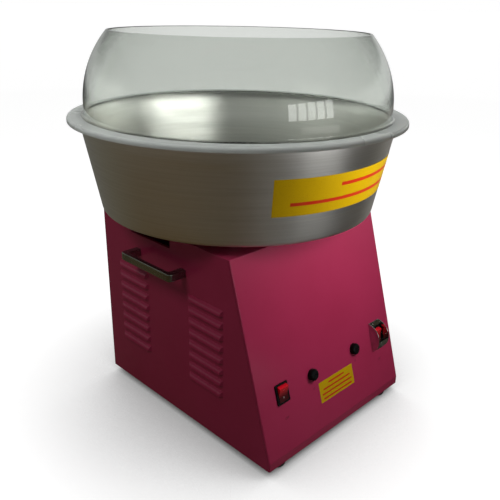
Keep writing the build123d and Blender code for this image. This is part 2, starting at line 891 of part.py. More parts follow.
lean = atan2(bowl_rim_radius - bowl_bottom_radius, bowl_depth)
wall_run = bowl_wall / cos(lean)
inner_corner = bowl_bottom_radius + bowl_wall * tan(lean) - wall_run
with BuildPart() as bowl:
    with BuildSketch(Plane.XZ):
        with BuildLine():
            under = FilletPolyline(
                (bowl_hole_radius, bowl_z + bowl_neck),
                (bowl_hole_radius, bowl_z),
                (bowl_bottom_radius, bowl_z),
                (bowl_rim_radius, rim_z),
                radius=(bowl_neck_bend, bowl_corner),
            )
            over = FilletPolyline(
                (bowl_hole_radius + bowl_wall, bowl_z + bowl_neck),
                (bowl_hole_radius + bowl_wall, bowl_z + bowl_wall),
                (inner_corner, bowl_z + bowl_wall),
                (bowl_rim_radius - wall_run, rim_z),
                radius=(bowl_neck_bend - bowl_wall, bowl_corner - bowl_wall),
            )
            Line(under @ 0, over @ 0)
            Line(under @ 1, over @ 1)
        make_face()
        with Locations((bowl_rim_radius + bead_radius / 2, rim_z)):
            Circle(bead_radius)
    revolve(axis=Axis.Z)
    with BuildSketch(Plane.XY.offset(bowl_z)):
        with Locations(*seat_spots):
            Circle(peg_radius + 2 * rest_gap)
    extrude(amount=bowl_wall, mode=Mode.SUBTRACT)
bowl.part.label = "bowl"

# ---------------------------------------------------------------- dome

arc_foot = flange_top + dome_straight
arc_x = dome_radius - dome_arc
dome_rise = sqrt(dome_arc**2 - (dome_mouth_radius - arc_x) ** 2)
dome_top = arc_foot + dome_rise
lip_bottom = flange_top - dome_lip
with BuildPart() as dome:
    with BuildSketch(Plane.XZ):
        with BuildLine():
            outer_foot = FilletPolyline(
                (dome_flange_radius, lip_bottom),
                (dome_flange_radius, flange_top),
                (dome_radius, flange_top),
                (dome_radius, arc_foot),
                radius=turn_radius,
            )
            CenterArc((arc_x, arc_foot), dome_arc, 0, degrees(asin(dome_rise / dome_arc)))
            inner_foot = FilletPolyline(
                (dome_flange_radius - dome_wall, lip_bottom),
                (dome_flange_radius - dome_wall, flange_under),
                (dome_radius - dome_wall, flange_under),
                (dome_radius - dome_wall, arc_foot),
                radius=(turn_radius - dome_wall, turn_radius + dome_wall),
            )
            inner_arc = dome_arc - dome_wall
            inner_side = CenterArc(
                (arc_x, arc_foot), inner_arc, 0, degrees(asin(dome_rise / inner_arc))
            )
            Line(outer_foot @ 0, inner_foot @ 0)
            Line((dome_mouth_radius, dome_top), inner_side @ 1)
        make_face()
    revolve(axis=Axis.Z)
dome.part.label = "dome"

# ---------------------------------------------------------------- motor and its mounting

bolt_start = 180 / bolt_count
with BuildPart() as motor_plate:
    with BuildSketch(Plane.XY.offset(plate_under)):
        RectangleRounded(plate_side, plate_side, corner_radius * 4)
        Circle(bearing_radius + bell_wall, mode=Mode.SUBTRACT)
        with Locations(*mount_spots):
            Circle(mount_bolt_radius + cut_clearance, mode=Mode.SUBTRACT)
        with PolarLocations(bolt_circle, bolt_count, bolt_start):
            Circle(mount_bolt_radius + cut_clearance, mode=Mode.SUBTRACT)
    extrude(amount=plate_thickness)
motor_plate.part.label = "motor_plate"

with BuildPart() as vibration_mounts:
    with BuildSketch(Plane.XY.offset(plate_top)):
        with Locations(*mount_spots):
            Circle(mount_radius)
        with Locations(*mount_spots):
            Circle(mount_bolt_radius + cut_clearance, mode=Mode.SUBTRACT)
    extrude(amount=mount_height)
vibration_mounts.part.label = "vibration_mounts"

mount_nut = mount_bolt_radius * nut_depth
with BuildPart() as mount_bolts:
    with BuildSketch(Plane.XY.offset(plate_under - mount_nut)):
        with Locations(*mount_spots):
            RegularPolygon(mount_bolt_radius * screw_head, 6)
    extrude(amount=mount_nut)
    with BuildSketch(Plane.XY.offset(plate_under)):
        with Locations(*mount_spots):
            Circle(mount_bolt_radius)
    extrude(amount=deck_z - plate_under)
    with BuildSketch(Plane.XY.offset(deck_z)):
        with Locations(*mount_spots):
            Circle(mount_bolt_radius * screw_head)
    extrude(amount=mount_bolt_radius)
mount_bolts.part.label = "mount_bolts"


def end_bell(low, high, vents):
    """Motor end bell: a flanged cup with a bearing seat, open towards the can."""
    closed = vents > 0
    floor_low = low if closed else high - bell_wall
    with BuildPart() as bell:
        add(ring_part(motor_radius - bell_wall, motor_radius, low, high))
        add(ring_part(bearing_radius + bearing_fit, motor_radius, floor_low, floor_low + bell_wall))
        seat_low = low if closed else high - bearing_width
        add(
            ring_part(
                bearing_radius + bearing_fit,
                bearing_radius + bell_wall,
                seat_low,
                seat_low + bearing_width,
            )
        )
        if closed:
            with BuildSketch(Plane.XY.offset(low)):
                with PolarLocations((bearing_radius + motor_radius) / 2, vents):
                    SlotOverall(bell_vent_length, bell_vent_width)
            extrude(amount=bell_wall, mode=Mode.SUBTRACT)
    return bell.part


with BuildPart() as motor_upper_bell:
    add(end_bell(can_top, plate_under, 0))
motor_upper_bell.part.label = "motor_upper_bell"

with BuildPart() as motor_lower_bell:
    add(end_bell(motor_bottom, can_bottom, bell_vents))
motor_lower_bell.part.label = "motor_lower_bell"

with BuildPart() as motor_can:
    add(ring_part(stator_bore, motor_radius, can_bottom, can_top))
motor_can.part.label = "motor_can"

with BuildPart() as motor_bolts:
    with BuildSketch(Plane.XY.offset(plate_top)):
        with PolarLocations(bolt_circle, bolt_count, bolt_start):
            RegularPolygon(mount_bolt_radius * screw_head, 6)
    extrude(amount=mount_bolt_radius)
    with BuildSketch(Plane.XY.offset(plate_top)):
        with PolarLocations(bolt_circle, bolt_count, bolt_start):
            Circle(mount_bolt_radius)
    extrude(amount=-plate_thickness)
motor_bolts.part.label = "motor_bolts"

bearing_bore = shaft_radius + running_fit
with BuildPart() as motor_bearings:
    for low in (motor_bottom, plate_under - bearing_width):
        add(ring_part(bearing_bore, bearing_radius, low, low + bearing_width))
motor_bearings.part.label = "motor_bearings"

shaft_bottom = motor_bottom - fan_height - 2 * sheet
nut_height = shaft_radius * nut_depth
washer = 1.5
shaft_top = boss_top + washer + nut_height + sheet
with BuildPart() as motor_shaft:
    with BuildSketch(Plane.XY.offset(shaft_bottom)):
        Circle(shaft_radius)
    extrude(amount=shaft_top - shaft_bottom)
    chamfer(motor_shaft.edges().filter_by(GeomType.CIRCLE), sheet / 2)
motor_shaft.part.label = "motor_shaft"

bore_on_shaft = shaft_radius + bearing_fit
with BuildPart() as motor_rotor:
    add(
        ring_part(
            bore_on_shaft, stator_bore - air_gap, can_bottom + shaft_radius, can_top - shaft_radius
        )
    )
motor_rotor.part.label = "motor_rotor"

fan_top = motor_bottom - sheet
blade_start = fan_hub_radius - sheet
blade_end = fan_radius - sheet
with BuildPart() as motor_fan:
    add(ring_part(bore_on_shaft, fan_hub_radius, fan_top - fan_height, fan_top))
    with BuildSketch(Plane.XY.offset(fan_top - fan_height)):
        Circle(fan_radius)
        Circle(bore_on_shaft, mode=Mode.SUBTRACT)
    extrude(amount=sheet)
    with BuildSketch(Plane.XY.offset(fan_top - fan_height)):
        with PolarLocations((blade_start + blade_end) / 2, fan_blades):
            Rectangle(blade_end - blade_start, sheet)
    extrude(amount=blade_height)
motor_fan.part.label = "motor_fan"

# ---------------------------------------------------------------- slip rings and brushes

ring_levels = [hub_z + ring_gap / 2 + k * (ring_height + ring_gap) for k in range(2)]
feed_spots = [(-feed_circle, 0), (feed_circle, 0)]

with BuildPart() as slip_ring_hub:
    add(ring_part(bore_on_shaft, hub_radius, hub_z, hub_z + hub_height))
    with BuildSketch(Plane.XY.offset(hub_z + ring_gap / 2)):
        with Locations(*feed_spots):
            Circle(feed_radius + running_fit)
    extrude(amount=hub_height, mode=Mode.SUBTRACT)
slip_ring_hub.part.label = "slip_ring_hub"

with BuildPart() as slip_rings:
    for level in ring_levels:
        add(ring_part(hub_radius + bearing_fit, ring_radius, level, level + ring_height))
slip_rings.part.label = "slip_rings"

with BuildPart() as feed_rods:
    with BuildSketch(Plane.XY.offset(hub_z + ring_gap / 2)):
        with Locations(*feed_spots):
            Circle(feed_radius)
    extrude(amount=boss_top + feed_radius * 2 - hub_z - ring_gap / 2)
feed_rods.part.label = "feed_rods"

brush_face = ring_radius + rest_gap
guide_start = brush_face + brush_side / 2
guide_end = guide_start + brush_guide_length
brush_back = ring_radius + brush_length - brush_side / 4
brush_half = brush_side / 2
guide_half = brush_half + sheet
with BuildPart() as carbon_brushes:
    for level in ring_levels:
        with BuildSketch(Plane.XY.offset(level + ring_height / 2 - brush_half)):
            with Locations((brush_back - brush_length / 2, 0)):
                Rectangle(brush_length, brush_side)
            Circle(brush_face, mode=Mode.SUBTRACT)
        extrude(amount=brush_side)
carbon_brushes.part.label = "carbon_brushes"

with BuildPart() as brush_springs:
    for level in ring_levels:
        with BuildSketch(Plane.YZ.offset(brush_back)):
            with Locations((0, level + ring_height / 2)):
                Circle(brush_half - rest_gap)
                Circle(brush_half / 2, mode=Mode.SUBTRACT)
        extrude(amount=guide_end - brush_back)
brush_springs.part.label = "brush_springs"

holder_low = plate_top
holder_high = ring_levels[1] + ring_height / 2 + guide_half
with BuildPart() as brush_holder:
    with BuildSketch(Plane.XY.offset(holder_low)):
        with Locations(((guide_start + guide_end) / 2 + sheet / 2, 0)):
            Rectangle(guide_end - guide_start + sheet, 2 * guide_half)
    extrude(amount=holder_high - holder_low)
    for level in ring_levels:
        with BuildSketch(Plane.YZ.offset(guide_start)):
            with Locations((0, level + ring_height / 2)):
                Rectangle(brush_side + 2 * running_fit, brush_side + 2 * running_fit)
        extrude(amount=guide_end - guide_start, mode=Mode.SUBTRACT)
brush_holder.part.label = "brush_holder"

# ---------------------------------------------------------------- spinner head

floor_top = head_z + head_floor
band_outer = head_radius - lid_wall - bearing_fit
post_circle = ribbon_radius - rest_gap - post_radius
post_start = 180 / post_count

with BuildPart() as head_base:
    with BuildSketch(Plane.XZ):
        with BuildLine():
            Polyline(
                (bore_on_shaft, head_z - head_floor),
                (boss_radius, head_z - head_floor),
                (boss_radius, head_z),
                (head_radius, head_z),
                (head_radius, head_z + head_rim),
                (head_radius - lid_wall, head_z + head_rim),
                (head_radius - lid_wall, floor_top),
                (boss_radius, floor_top),
                (boss_radius, boss_top),
                (bore_on_shaft, boss_top),
                close=True,
            )
        make_face()
    revolve(axis=Axis.Z)
    fillet(head_base.faces().sort_by(Axis.Z)[0].edges(), sheet / 4)
    with BuildSketch(Plane.XY.offset(head_z - head_floor)):
        with Locations(*feed_spots):
            Circle(feed_radius + sheet)
        with PolarLocations(post_circle, post_count, post_start):
            Circle(feed_radius + running_fit)
    extrude(amount=boss_height + head_floor, mode=Mode.SUBTRACT)
head_base.part.label = "head_base"

with BuildPart() as feed_bushes:
    for spot in feed_spots:
        with BuildSketch(Plane.XY.offset(head_z - head_floor)):
            with Locations(spot):
                Circle(feed_radius + sheet - bearing_fit)
                Circle(feed_radius + bearing_fit, mode=Mode.SUBTRACT)
        extrude(amount=boss_height + head_floor)
feed_bushes.part.label = "feed_bushes"

lead_low = boss_top + sheet / 2
lead_start = feed_circle - feed_radius * 2
lead_end = ribbon_radius - rest_gap
with BuildPart() as ribbon_leads:
    for side in (-1, 1):
        with BuildSketch(Plane.XY.offset(lead_low)):
            with Locations((side * (lead_start + lead_end) / 2, 0)):
                Rectangle(lead_end - lead_start, feed_radius * 3)
            with Locations((side * feed_circle, 0)):
                Circle(feed_radius + bearing_fit, mode=Mode.SUBTRACT)
            Circle(feed_circle - feed_radius * feed_eye, mode=Mode.SUBTRACT)
        extrude(amount=sheet / 2)
ribbon_leads.part.label = "ribbon_leads"

ribbon_low = floor_top + ribbon_slit
with BuildPart() as heating_ribbon:
    add(ring_part(ribbon_radius, ribbon_radius + ribbon_wall, ribbon_low, ribbon_low + ribbon_height))
    for start, rise in ((0, -ribbon_slit), (180 / ribbon_folds, ribbon_slit)):
        with BuildSketch(Plane.XY.offset(ribbon_low + rise)):
            with PolarLocations(ribbon_radius, ribbon_folds, start):
                Rectangle(ribbon_wall * 4, ribbon_slit)
        extrude(amount=ribbon_height, mode=Mode.SUBTRACT)
heating_ribbon.part.label = "heating_ribbon"

with BuildPart() as element_posts:
    with BuildSketch(Plane.XY.offset(floor_top)):
        with PolarLocations(post_circle, post_count, post_start):
            Circle(post_radius)
        with PolarLocations(post_circle, post_count, post_start):
            Circle(feed_radius + running_fit, mode=Mode.SUBTRACT)
    extrude(amount=lid_z - floor_top)
element_posts.part.label = "element_posts"

with BuildPart() as slotted_band:
    add(ring_part(band_outer - band_wall, band_outer, floor_top, lid_z))
    with BuildSketch(Plane.XY.offset(head_z + head_rim)):
        with PolarLocations(band_outer - band_wall / 2, band_slots):
            Rectangle(band_wall * 4, band_slot_width)
    extrude(amount=lid_z - head_z - head_rim - band_slot_width, mode=Mode.SUBTRACT)
slotted_band.part.label = "slotted_band"

lid_shoulder = head_radius - lid_brim
cone_z = lid_z + lid_brim
with BuildPart() as head_lid:
    with BuildSketch(Plane.XZ):
        with BuildLine():
            Polyline(
                (head_radius, lid_z),
                (head_radius, lid_z + lid_wall),
                (lid_shoulder, lid_z + lid_wall),
                (mouth_radius + lid_wall, cone_z + lid_wall),
                (mouth_radius + lid_wall, head_top),
                (mouth_radius, head_top),
                (mouth_radius, cone_z),
                (lid_shoulder, lid_z),
                close=True,
            )
        make_face()
    revolve(axis=Axis.Z)
    with BuildSketch(Plane.XY.offset(lid_z - lid_wall)):
        with PolarLocations(post_circle, post_count, post_start):
            Circle(feed_radius + running_fit)
    extrude(amount=head_height, mode=Mode.SUBTRACT)
head_lid.part.label = "head_lid"

screw_seat = lid_z + lid_wall + max(lid_shoulder - post_circle, 0) * lid_brim / (
    lid_shoulder - mouth_radius
)
with BuildPart() as head_screws:
    with BuildSketch(Plane.XY.offset(head_z)):
        with PolarLocations(post_circle, post_count, post_start):
            Circle(feed_radius)
    extrude(amount=screw_seat + feed_radius - head_z)
    with BuildSketch(Plane.XY.offset(screw_seat + feed_radius)):
        with PolarLocations(post_circle, post_count, post_start):
            Circle(feed_radius * 2)
    extrude(amount=feed_radius)
head_screws.part.label = "head_screws"

with BuildPart() as head_nut:
    with BuildSketch(Plane.XY.offset(boss_top)):
        Circle(shaft_radius + sheet)
        Circle(bore_on_shaft, mode=Mode.SUBTRACT)
    extrude(amount=washer)
    with BuildSketch(Plane.XY.offset(boss_top + washer)):
        RegularPolygon(head_nut_radius, 6)
        Circle(bore_on_shaft, mode=Mode.SUBTRACT)
    extrude(amount=nut_height)
head_nut.part.label = "head_nut"

# ---------------------------------------------------------------- electrical parts on the tray

with BuildPart() as terminal_block:
    with BuildSketch(Plane.XY.offset(tray_top)):
        with Locations((block_x, block_y)):
            Rectangle(block_length, block_width)
    extrude(amount=block_base)
    with BuildSketch(Plane.XY.offset(tray_top + block_base)):
        with Locations((block_x, block_y)):
            with GridLocations(block_pitch, 0, block_ways, 1):
                Rectangle(way_length, way_width)
    extrude(amount=block_tower)
terminal_block.part.label = "terminal_block"

clip_half = capacitor_radius + sheet + bearing_fit
capacitor_z = tray_top + clip_half
with BuildPart() as motor_capacitor:
    with BuildSketch(Plane.XZ.offset(-capacitor_y)):
        with Locations((capacitor_x, capacitor_z)):
            Circle(capacitor_radius)
    extrude(amount=capacitor_length / 2, both=True)
    fillet(motor_capacitor.edges().filter_by(GeomType.CIRCLE), sheet)
motor_capacitor.part.label = "motor_capacitor"

with BuildPart() as capacitor_clip:
    with BuildSketch(Plane.XZ.offset(-capacitor_y)):
        with Locations((capacitor_x, capacitor_z)):
            Circle(clip_half)
        with Locations((capacitor_x, tray_top)):
            Rectangle(4 * capacitor_radius, sheet, align=(Align.CENTER, Align.MIN))
        with Locations((capacitor_x, capacitor_z)):
            Circle(capacitor_radius + bearing_fit, mode=Mode.SUBTRACT)
    extrude(amount=clip_width / 2, both=True)
capacitor_clip.part.label = "capacitor_clip"

# ---------------------------------------------------------------- files

pieces = [
    front_panel,
    left_side_panel,
    right_side_panel,
    rear_panel,
    top_deck,
    base_tray,
    rubber_feet,
    foot_screws,
    foot_nuts,
    left_handle,
    right_handle,
    handle_screws,
    power_switch_housing,
    heat_switch_housing,
    power_rocker,
    heat_rocker,
    switch_terminals,
    switch_guard,
    left_fuse_holder,
    right_fuse_holder,
    left_fuse_cap,
    right_fuse_cap,
    left_fuse_cartridge,
    right_fuse_cartridge,
    fuse_holder_nuts,
    power_inlet,
    inlet_pins,
    bowl_seats,
    bowl,
    dome,
    motor_plate,
    vibration_mounts,
    mount_bolts,
    motor_upper_bell,
    motor_lower_bell,
    motor_can,
    motor_bolts,
    motor_bearings,
    motor_shaft,
    motor_rotor,
    motor_fan,
    slip_ring_hub,
    slip_rings,
    feed_rods,
    feed_bushes,
    carbon_brushes,
    brush_springs,
    brush_holder,
    head_base,
    ribbon_leads,
    heating_ribbon,
    element_posts,
    slotted_band,
    head_lid,
    head_screws,
    head_nut,
    terminal_block,
    motor_capacitor,
    capacitor_clip,
]

os.makedirs("parts", exist_ok=True)
for piece in pieces:
    export_step(piece.part, f"parts/{piece.part.label}.step")
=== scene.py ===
"""Looks of a table-top cotton candy machine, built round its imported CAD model."""

import json
import logging
import math
from dataclasses import dataclass
from enum import Enum
from functools import cache, reduce
from typing import Callable, Optional, Sequence, Union

import bpy
from mathutils import Matrix, Vector
from mathutils.bvhtree import BVHTree

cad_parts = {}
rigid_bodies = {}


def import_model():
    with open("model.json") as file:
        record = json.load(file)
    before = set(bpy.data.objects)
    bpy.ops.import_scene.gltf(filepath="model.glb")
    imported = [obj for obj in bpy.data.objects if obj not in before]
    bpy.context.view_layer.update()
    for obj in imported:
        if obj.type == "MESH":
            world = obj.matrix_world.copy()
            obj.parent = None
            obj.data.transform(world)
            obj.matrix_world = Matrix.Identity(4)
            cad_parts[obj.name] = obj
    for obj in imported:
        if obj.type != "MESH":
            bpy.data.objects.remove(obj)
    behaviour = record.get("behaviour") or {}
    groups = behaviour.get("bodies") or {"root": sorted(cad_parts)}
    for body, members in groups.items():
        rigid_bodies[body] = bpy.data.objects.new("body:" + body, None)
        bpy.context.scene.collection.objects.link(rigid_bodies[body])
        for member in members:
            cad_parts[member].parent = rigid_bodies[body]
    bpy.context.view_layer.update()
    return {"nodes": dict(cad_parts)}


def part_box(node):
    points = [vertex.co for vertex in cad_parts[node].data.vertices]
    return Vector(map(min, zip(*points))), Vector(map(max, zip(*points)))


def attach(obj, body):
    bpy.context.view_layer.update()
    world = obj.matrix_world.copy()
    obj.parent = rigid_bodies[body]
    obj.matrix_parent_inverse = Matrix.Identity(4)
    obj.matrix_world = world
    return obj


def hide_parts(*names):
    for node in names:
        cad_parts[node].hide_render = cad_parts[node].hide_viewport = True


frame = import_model()

LOG = logging.getLogger("cotton_candy_machine")
MM = 0.001

Colour = tuple[float, float, float, float]
Point = tuple[float, float, float]
Span = tuple[float, float]
Outline = list[Span]
Shape = tuple[list[Point], list[tuple[int, ...]]]
Stops = tuple[tuple[float, Colour], ...]
Socket = bpy.types.NodeSocket
Sockets = bpy.types.bpy_prop_collection
Value = Union[float, Colour, Point, Socket]


def linear(share: float) -> float:
    """Linear value of a display level, both from 0 to 1, by the sRGB curve."""
    return share / 12.92 if share <= 0.04045 else ((share + 0.055) / 1.055) ** 2.4


def tone(red: int, green: int, blue: int) -> Colour:
    """Linear colour, with an alpha of 1, of a display colour with levels from 0 to 255."""
    return (linear(red / 255), linear(green / 255), linear(blue / 255), 1.0)


# ------------------------------------------------------------------ shader board


@dataclass(frozen=True)
class Board:
    """Adds and wires nodes in the shader tree of a material, a world or a group."""

    tree: bpy.types.NodeTree

    def put(self, value: Value, socket: Socket) -> None:
        """Link or set an input.

        Args:
            value: Output socket to link from, or a plain value.
            socket: Input socket that takes it.
        """
        if isinstance(value, Socket):
            self.tree.links.new(value, socket)
        else:
            socket.default_value = value

    def add(self, kind: str, inputs: Optional[dict] = None, **settings: object) -> bpy.types.Node:
        """Add one node.

        Args:
            kind: Blender's node type.
            inputs: Values by input name or number.
            settings: Properties of the node itself.

        Returns:
            The new node.
        """
        node = self.tree.nodes.new(kind)
        for name, setting in settings.items():
            setattr(node, name, setting)
        for name, value in (inputs or {}).items():
            self.put(value, node.inputs[name])
        return node

    def maths(self, operation: str, *values: Value) -> Socket:
        """Give the result of a Math node."""
        return self.add("ShaderNodeMath", dict(enumerate(values)), operation=operation).outputs[0]

    def product(self, *values: Value) -> Socket:
        """Multiply two values or more."""
        return reduce(lambda one, other: self.maths("MULTIPLY", one, other), values)

    def vector(self, operation: str, *values: Value) -> Sockets:
        """Give the outputs of a Vector Math node: the vector is 0, the value 1."""
        inputs = dict(enumerate(values))
        return self.add("ShaderNodeVectorMath", inputs, operation=operation).outputs

    def parts(self, vector: Socket) -> Sockets:
        """Give a vector's X, Y and Z."""
        return self.add("ShaderNodeSeparateXYZ", {0: vector}).outputs

    def place(self) -> Socket:
        """Give each point's place in the object's own frame."""
        return self.add("ShaderNodeTexCoord").outputs["Object"]

    def noise(self, vector: Optional[Socket] = None, **inputs: Value) -> Socket:
        """Give noise from 0 to 1 over a vector, or over the object."""
        inputs["Vector"] = vector or self.place()
        return self.add("ShaderNodeTexNoise", inputs).outputs[0]

    def spread(
        self, value: Value, low: float, high: float, to_low: float = 0.0, to_high: float = 1.0
    ) -> Socket:
        """Map a range of values smoothly onto another."""
        ends = {0: value, 1: low, 2: high, 3: to_low, 4: to_high}
        return self.add("ShaderNodeMapRange", ends, interpolation_type="SMOOTHSTEP").outputs[0]

    def blend(self, share: Value, first: Value, second: Value) -> Socket:
        """Mix a share of the second colour into the first."""
        colours = {0: share, 6: first, 7: second}
        return self.add("ShaderNodeMix", colours, data_type="RGBA").outputs[2]

    def coats(self, colour: Value, *layers: tuple[Value, Colour]) -> Socket:
        """Lay colours over a first one, each where its mask says."""
        return reduce(lambda under, layer: self.blend(layer[0], under, layer[1]), layers, colour)

    def normal(self) -> Socket:
        """Give the surface's plain normal."""
        return self.add("ShaderNodeNewGeometry").outputs["Normal"]

    def rounded(self, radius: Value) -> Socket:
        """Give the normal of edges rounded to a radius, in metres."""
        return self.add("ShaderNodeBevel", {"Radius": radius}, samples=4).outputs[0]

    def bump(self, height: Value, strength: float, distance: float, edge: float = 0.0) -> Socket:
        """Give the normal of a surface with relief.

        Args:
            height: Height over the surface.
            strength: How much of it shows.
            distance: Depth of one unit of height, in metres.
            edge: Radius to which edges are rounded first, in metres.

        Returns:
            The bumped normal.
        """
        inputs = {"Height": height, "Strength": strength, "Distance": distance}
        if edge:
            inputs["Normal"] = self.rounded(edge)
        return self.add("ShaderNodeBump", inputs).outputs[0]


def blank_material(name: str) -> tuple[bpy.types.Material, Board]:
    """Make a material with an empty node tree.

    Args:
        name: Its name.

    Returns:
        The material and its board.
    """
    made = bpy.data.materials.new(name)
    made.use_nodes = True
    made.node_tree.nodes.clear()
    return made, Board(made.node_tree)


# ------------------------------------------------------------------ shared effects


def grain(board: Board, given: Sockets) -> Socket:
    """Wire noise that can be stretched along the object's axes."""
    drawn = board.vector("MULTIPLY", board.place(), given["Stretch"])[0]
    return board.noise(drawn, Scale=given["Scale"], Detail=given["Detail"], Roughness=0.6)


def turned_rings(board: Board, given: Sockets) -> Socket:
    """Wire fine rings round the vertical axis, as a spinning or turning tool leaves.

    Args:
        board: The group's board.
        given: The group's inputs.

    Returns:
        Noise from 0 to 1.
    """
    place = board.place()
    flat = board.vector("MULTIPLY", place, (1.0, 1.0, 0.0))[0]
    rise = board.product(board.parts(place)[2], 1.3)
    climb = board.maths("ADD", board.vector("LENGTH", flat)[1], rise)
    heading = board.parts(board.vector("NORMALIZE", flat)[0])
    around = [board.product(heading[axis], given["Around"]) for axis in (0, 1)]
    drawn = {0: board.product(climb, given["Scale"]), 1: around[0], 2: around[1]}
    vector = board.add("ShaderNodeCombineXYZ", drawn).outputs[0]
    return board.noise(vector, Scale=1.0, Detail=3.0, Roughness=0.7)


def worn_edges(board: Board, given: Sockets) -> Socket:
    """Wire a mask of the sharp edges, broken up by noise.

    Args:
        board: The group's board.
        given: The group's inputs.

    Returns:
        Mask from 0 to 1.
    """
    same = board.vector("DOT_PRODUCT", board.rounded(given["Width"]), board.normal())[1]
    broken = board.noise(Scale=given["Breakup"], Detail=4.0)
    masks = board.spread(same, 0.999, 0.9), board.spread(broken, 0.42, 0.62)
    return board.product(*masks, given["Amount"])


def settled_dust(board: Board, given: Sockets) -> Socket:
    """Wire a mask of the faces that look up, where dust and sugar settle.

    Args:
        board: The group's board.
        given: The group's inputs.

    Returns:
        Mask from 0 to 1.
    """
    facing = board.spread(board.parts(board.normal())[2], 0.2, 0.95)
    patchy = board.spread(board.noise(Scale=given["Scale"], Detail=6.0), 0.35, 0.7, 0.2)
    return board.product(facing, patchy, given["Amount"])


def smudges(board: Board, given: Sockets) -> Socket:
    """Wire soft patches, as hands and wiping leave."""
    soft = board.noise(Scale=given["Scale"], Detail=5.0, Distortion=0.6)
    return board.product(board.spread(soft, 0.4, 0.72), given["Amount"])


class Effect(Enum):
    """Effects that several materials share, each one a node group that is built once."""

    GRAIN = grain, "Value", {"Scale": 100.0, "Stretch": (1.0, 1.0, 1.0), "Detail": 3.0}
    TURNED_RINGS = turned_rings, "Value", {"Scale": 900.0, "Around": 2.0}
    WORN_EDGES = worn_edges, "Mask", {"Width": 0.0008, "Breakup": 90.0, "Amount": 0.5}
    SETTLED_DUST = settled_dust, "Mask", {"Scale": 35.0, "Amount": 0.15}
    SMUDGES = smudges, "Mask", {"Scale": 14.0, "Amount": 0.5}

    def __init__(self, wire: Callable, output: str, inputs: dict[str, Value]) -> None:
        """Keep the effect's wiring, the name of its output and its inputs at rest."""
        self.wire, self.output, self.inputs = wire, output, inputs

    @cache
    def group(self) -> bpy.types.NodeTree:
        """Build the effect's node group.

        Returns:
            The node group.
        """
        tree = bpy.data.node_groups.new(self.name.lower(), "ShaderNodeTree")
        for name, start in self.inputs.items():
            kind = "NodeSocketVector" if isinstance(start, tuple) else "NodeSocketFloat"
            socket = tree.interface.new_socket(name=name, in_out="INPUT", socket_type=kind)
            socket.default_value = start
        tree.interface.new_socket(name=self.output, in_out="OUTPUT", socket_type="NodeSocketFloat")
        board = Board(tree)
        given = board.add("NodeGroupInput").outputs
        board.add("NodeGroupOutput", {self.output: self.wire(board, given)})
        return tree

    def on(self, board: Board, **values: Value) -> Socket:
        """Place the effect in a material, with its inputs by name."""
        return board.add("ShaderNodeGroup", values, node_tree=self.group()).outputs[0]


# ------------------------------------------------------------------ finishes


@dataclass(frozen=True)
class Finish:
    """A surface finish that makes its material once."""

    name: str  # of the material
    colour: Colour  # main colour
    roughness: float  # middle roughness

    @cache
    def material(self) -> bpy.types.Material:
        """Make the finish's material.

        Returns:
            The material.
        """
        made, board = blank_material(self.name)
        start = {"Base Color": self.colour, "Roughness": self.roughness}
        shader = board.add("ShaderNodeBsdfPrincipled", start)
        for name, value in self.wire(board).items():
            board.put(value, shader.inputs[name])
        board.add("ShaderNodeOutputMaterial", {0: shader.outputs[0], **self.filling(board)})
        return made

    def wire(self, board: Board) -> dict[str, Value]:
        """Give the shader's inputs by name."""
        raise NotImplementedError

    def filling(self, board: Board) -> dict[str, Socket]:
        """Give what fills the solid, if anything does, by input of the material's output."""
        return {}

    def wander(self, board: Board, pattern: Socket, less: float, more: float) -> Socket:
        """Let the roughness fall and rise round its middle value, as noise does."""
        return board.spread(pattern, 0.3, 0.7, self.roughness - less, self.roughness + more)


@dataclass(frozen=True)
class Enamel(Finish):
    """Baked paint on sheet steel, with a fine orange peel."""

    shade: Colour  # of its thinner and darker patches
    dust: Colour  # of what settles on it
    peel: float = 0.12  # strength of the orange peel

    def wire(self, board: Board) -> dict[str, Value]:
        """Wire patches, dust, edge wear and orange peel.

        Args:
            board: The material's board.

        Returns:
            The shader's inputs by name.
        """
        patches = board.spread(Effect.GRAIN.on(board, Scale=9.0, Detail=5.0), 0.35, 0.75, 0.0, 0.35)
        settled = Effect.SETTLED_DUST.on(board, Scale=60.0, Amount=0.1)
        worn = Effect.WORN_EDGES.on(board, Width=0.0009, Breakup=140.0, Amount=0.35)
        layers = (patches, self.shade), (settled, self.dust), (worn, self.dust)
        rub = Effect.SMUDGES.on(board, Scale=11.0, Amount=0.14)
        rough = self.wander(board, Effect.GRAIN.on(board, Scale=45.0), 0.05, 0.05)
        peel = Effect.GRAIN.on(board, Scale=620.0, Detail=1.0)
        return {
            "Base Color": board.coats(self.colour, *layers),
            "Roughness": board.maths("ADD", rough, rub),
            "Normal": board.bump(peel, self.peel, 0.0002, 0.0006),
            "Specular IOR Level": 0.06,
            "Coat Weight": 0.45,
            "Coat Roughness": 0.2,
        }


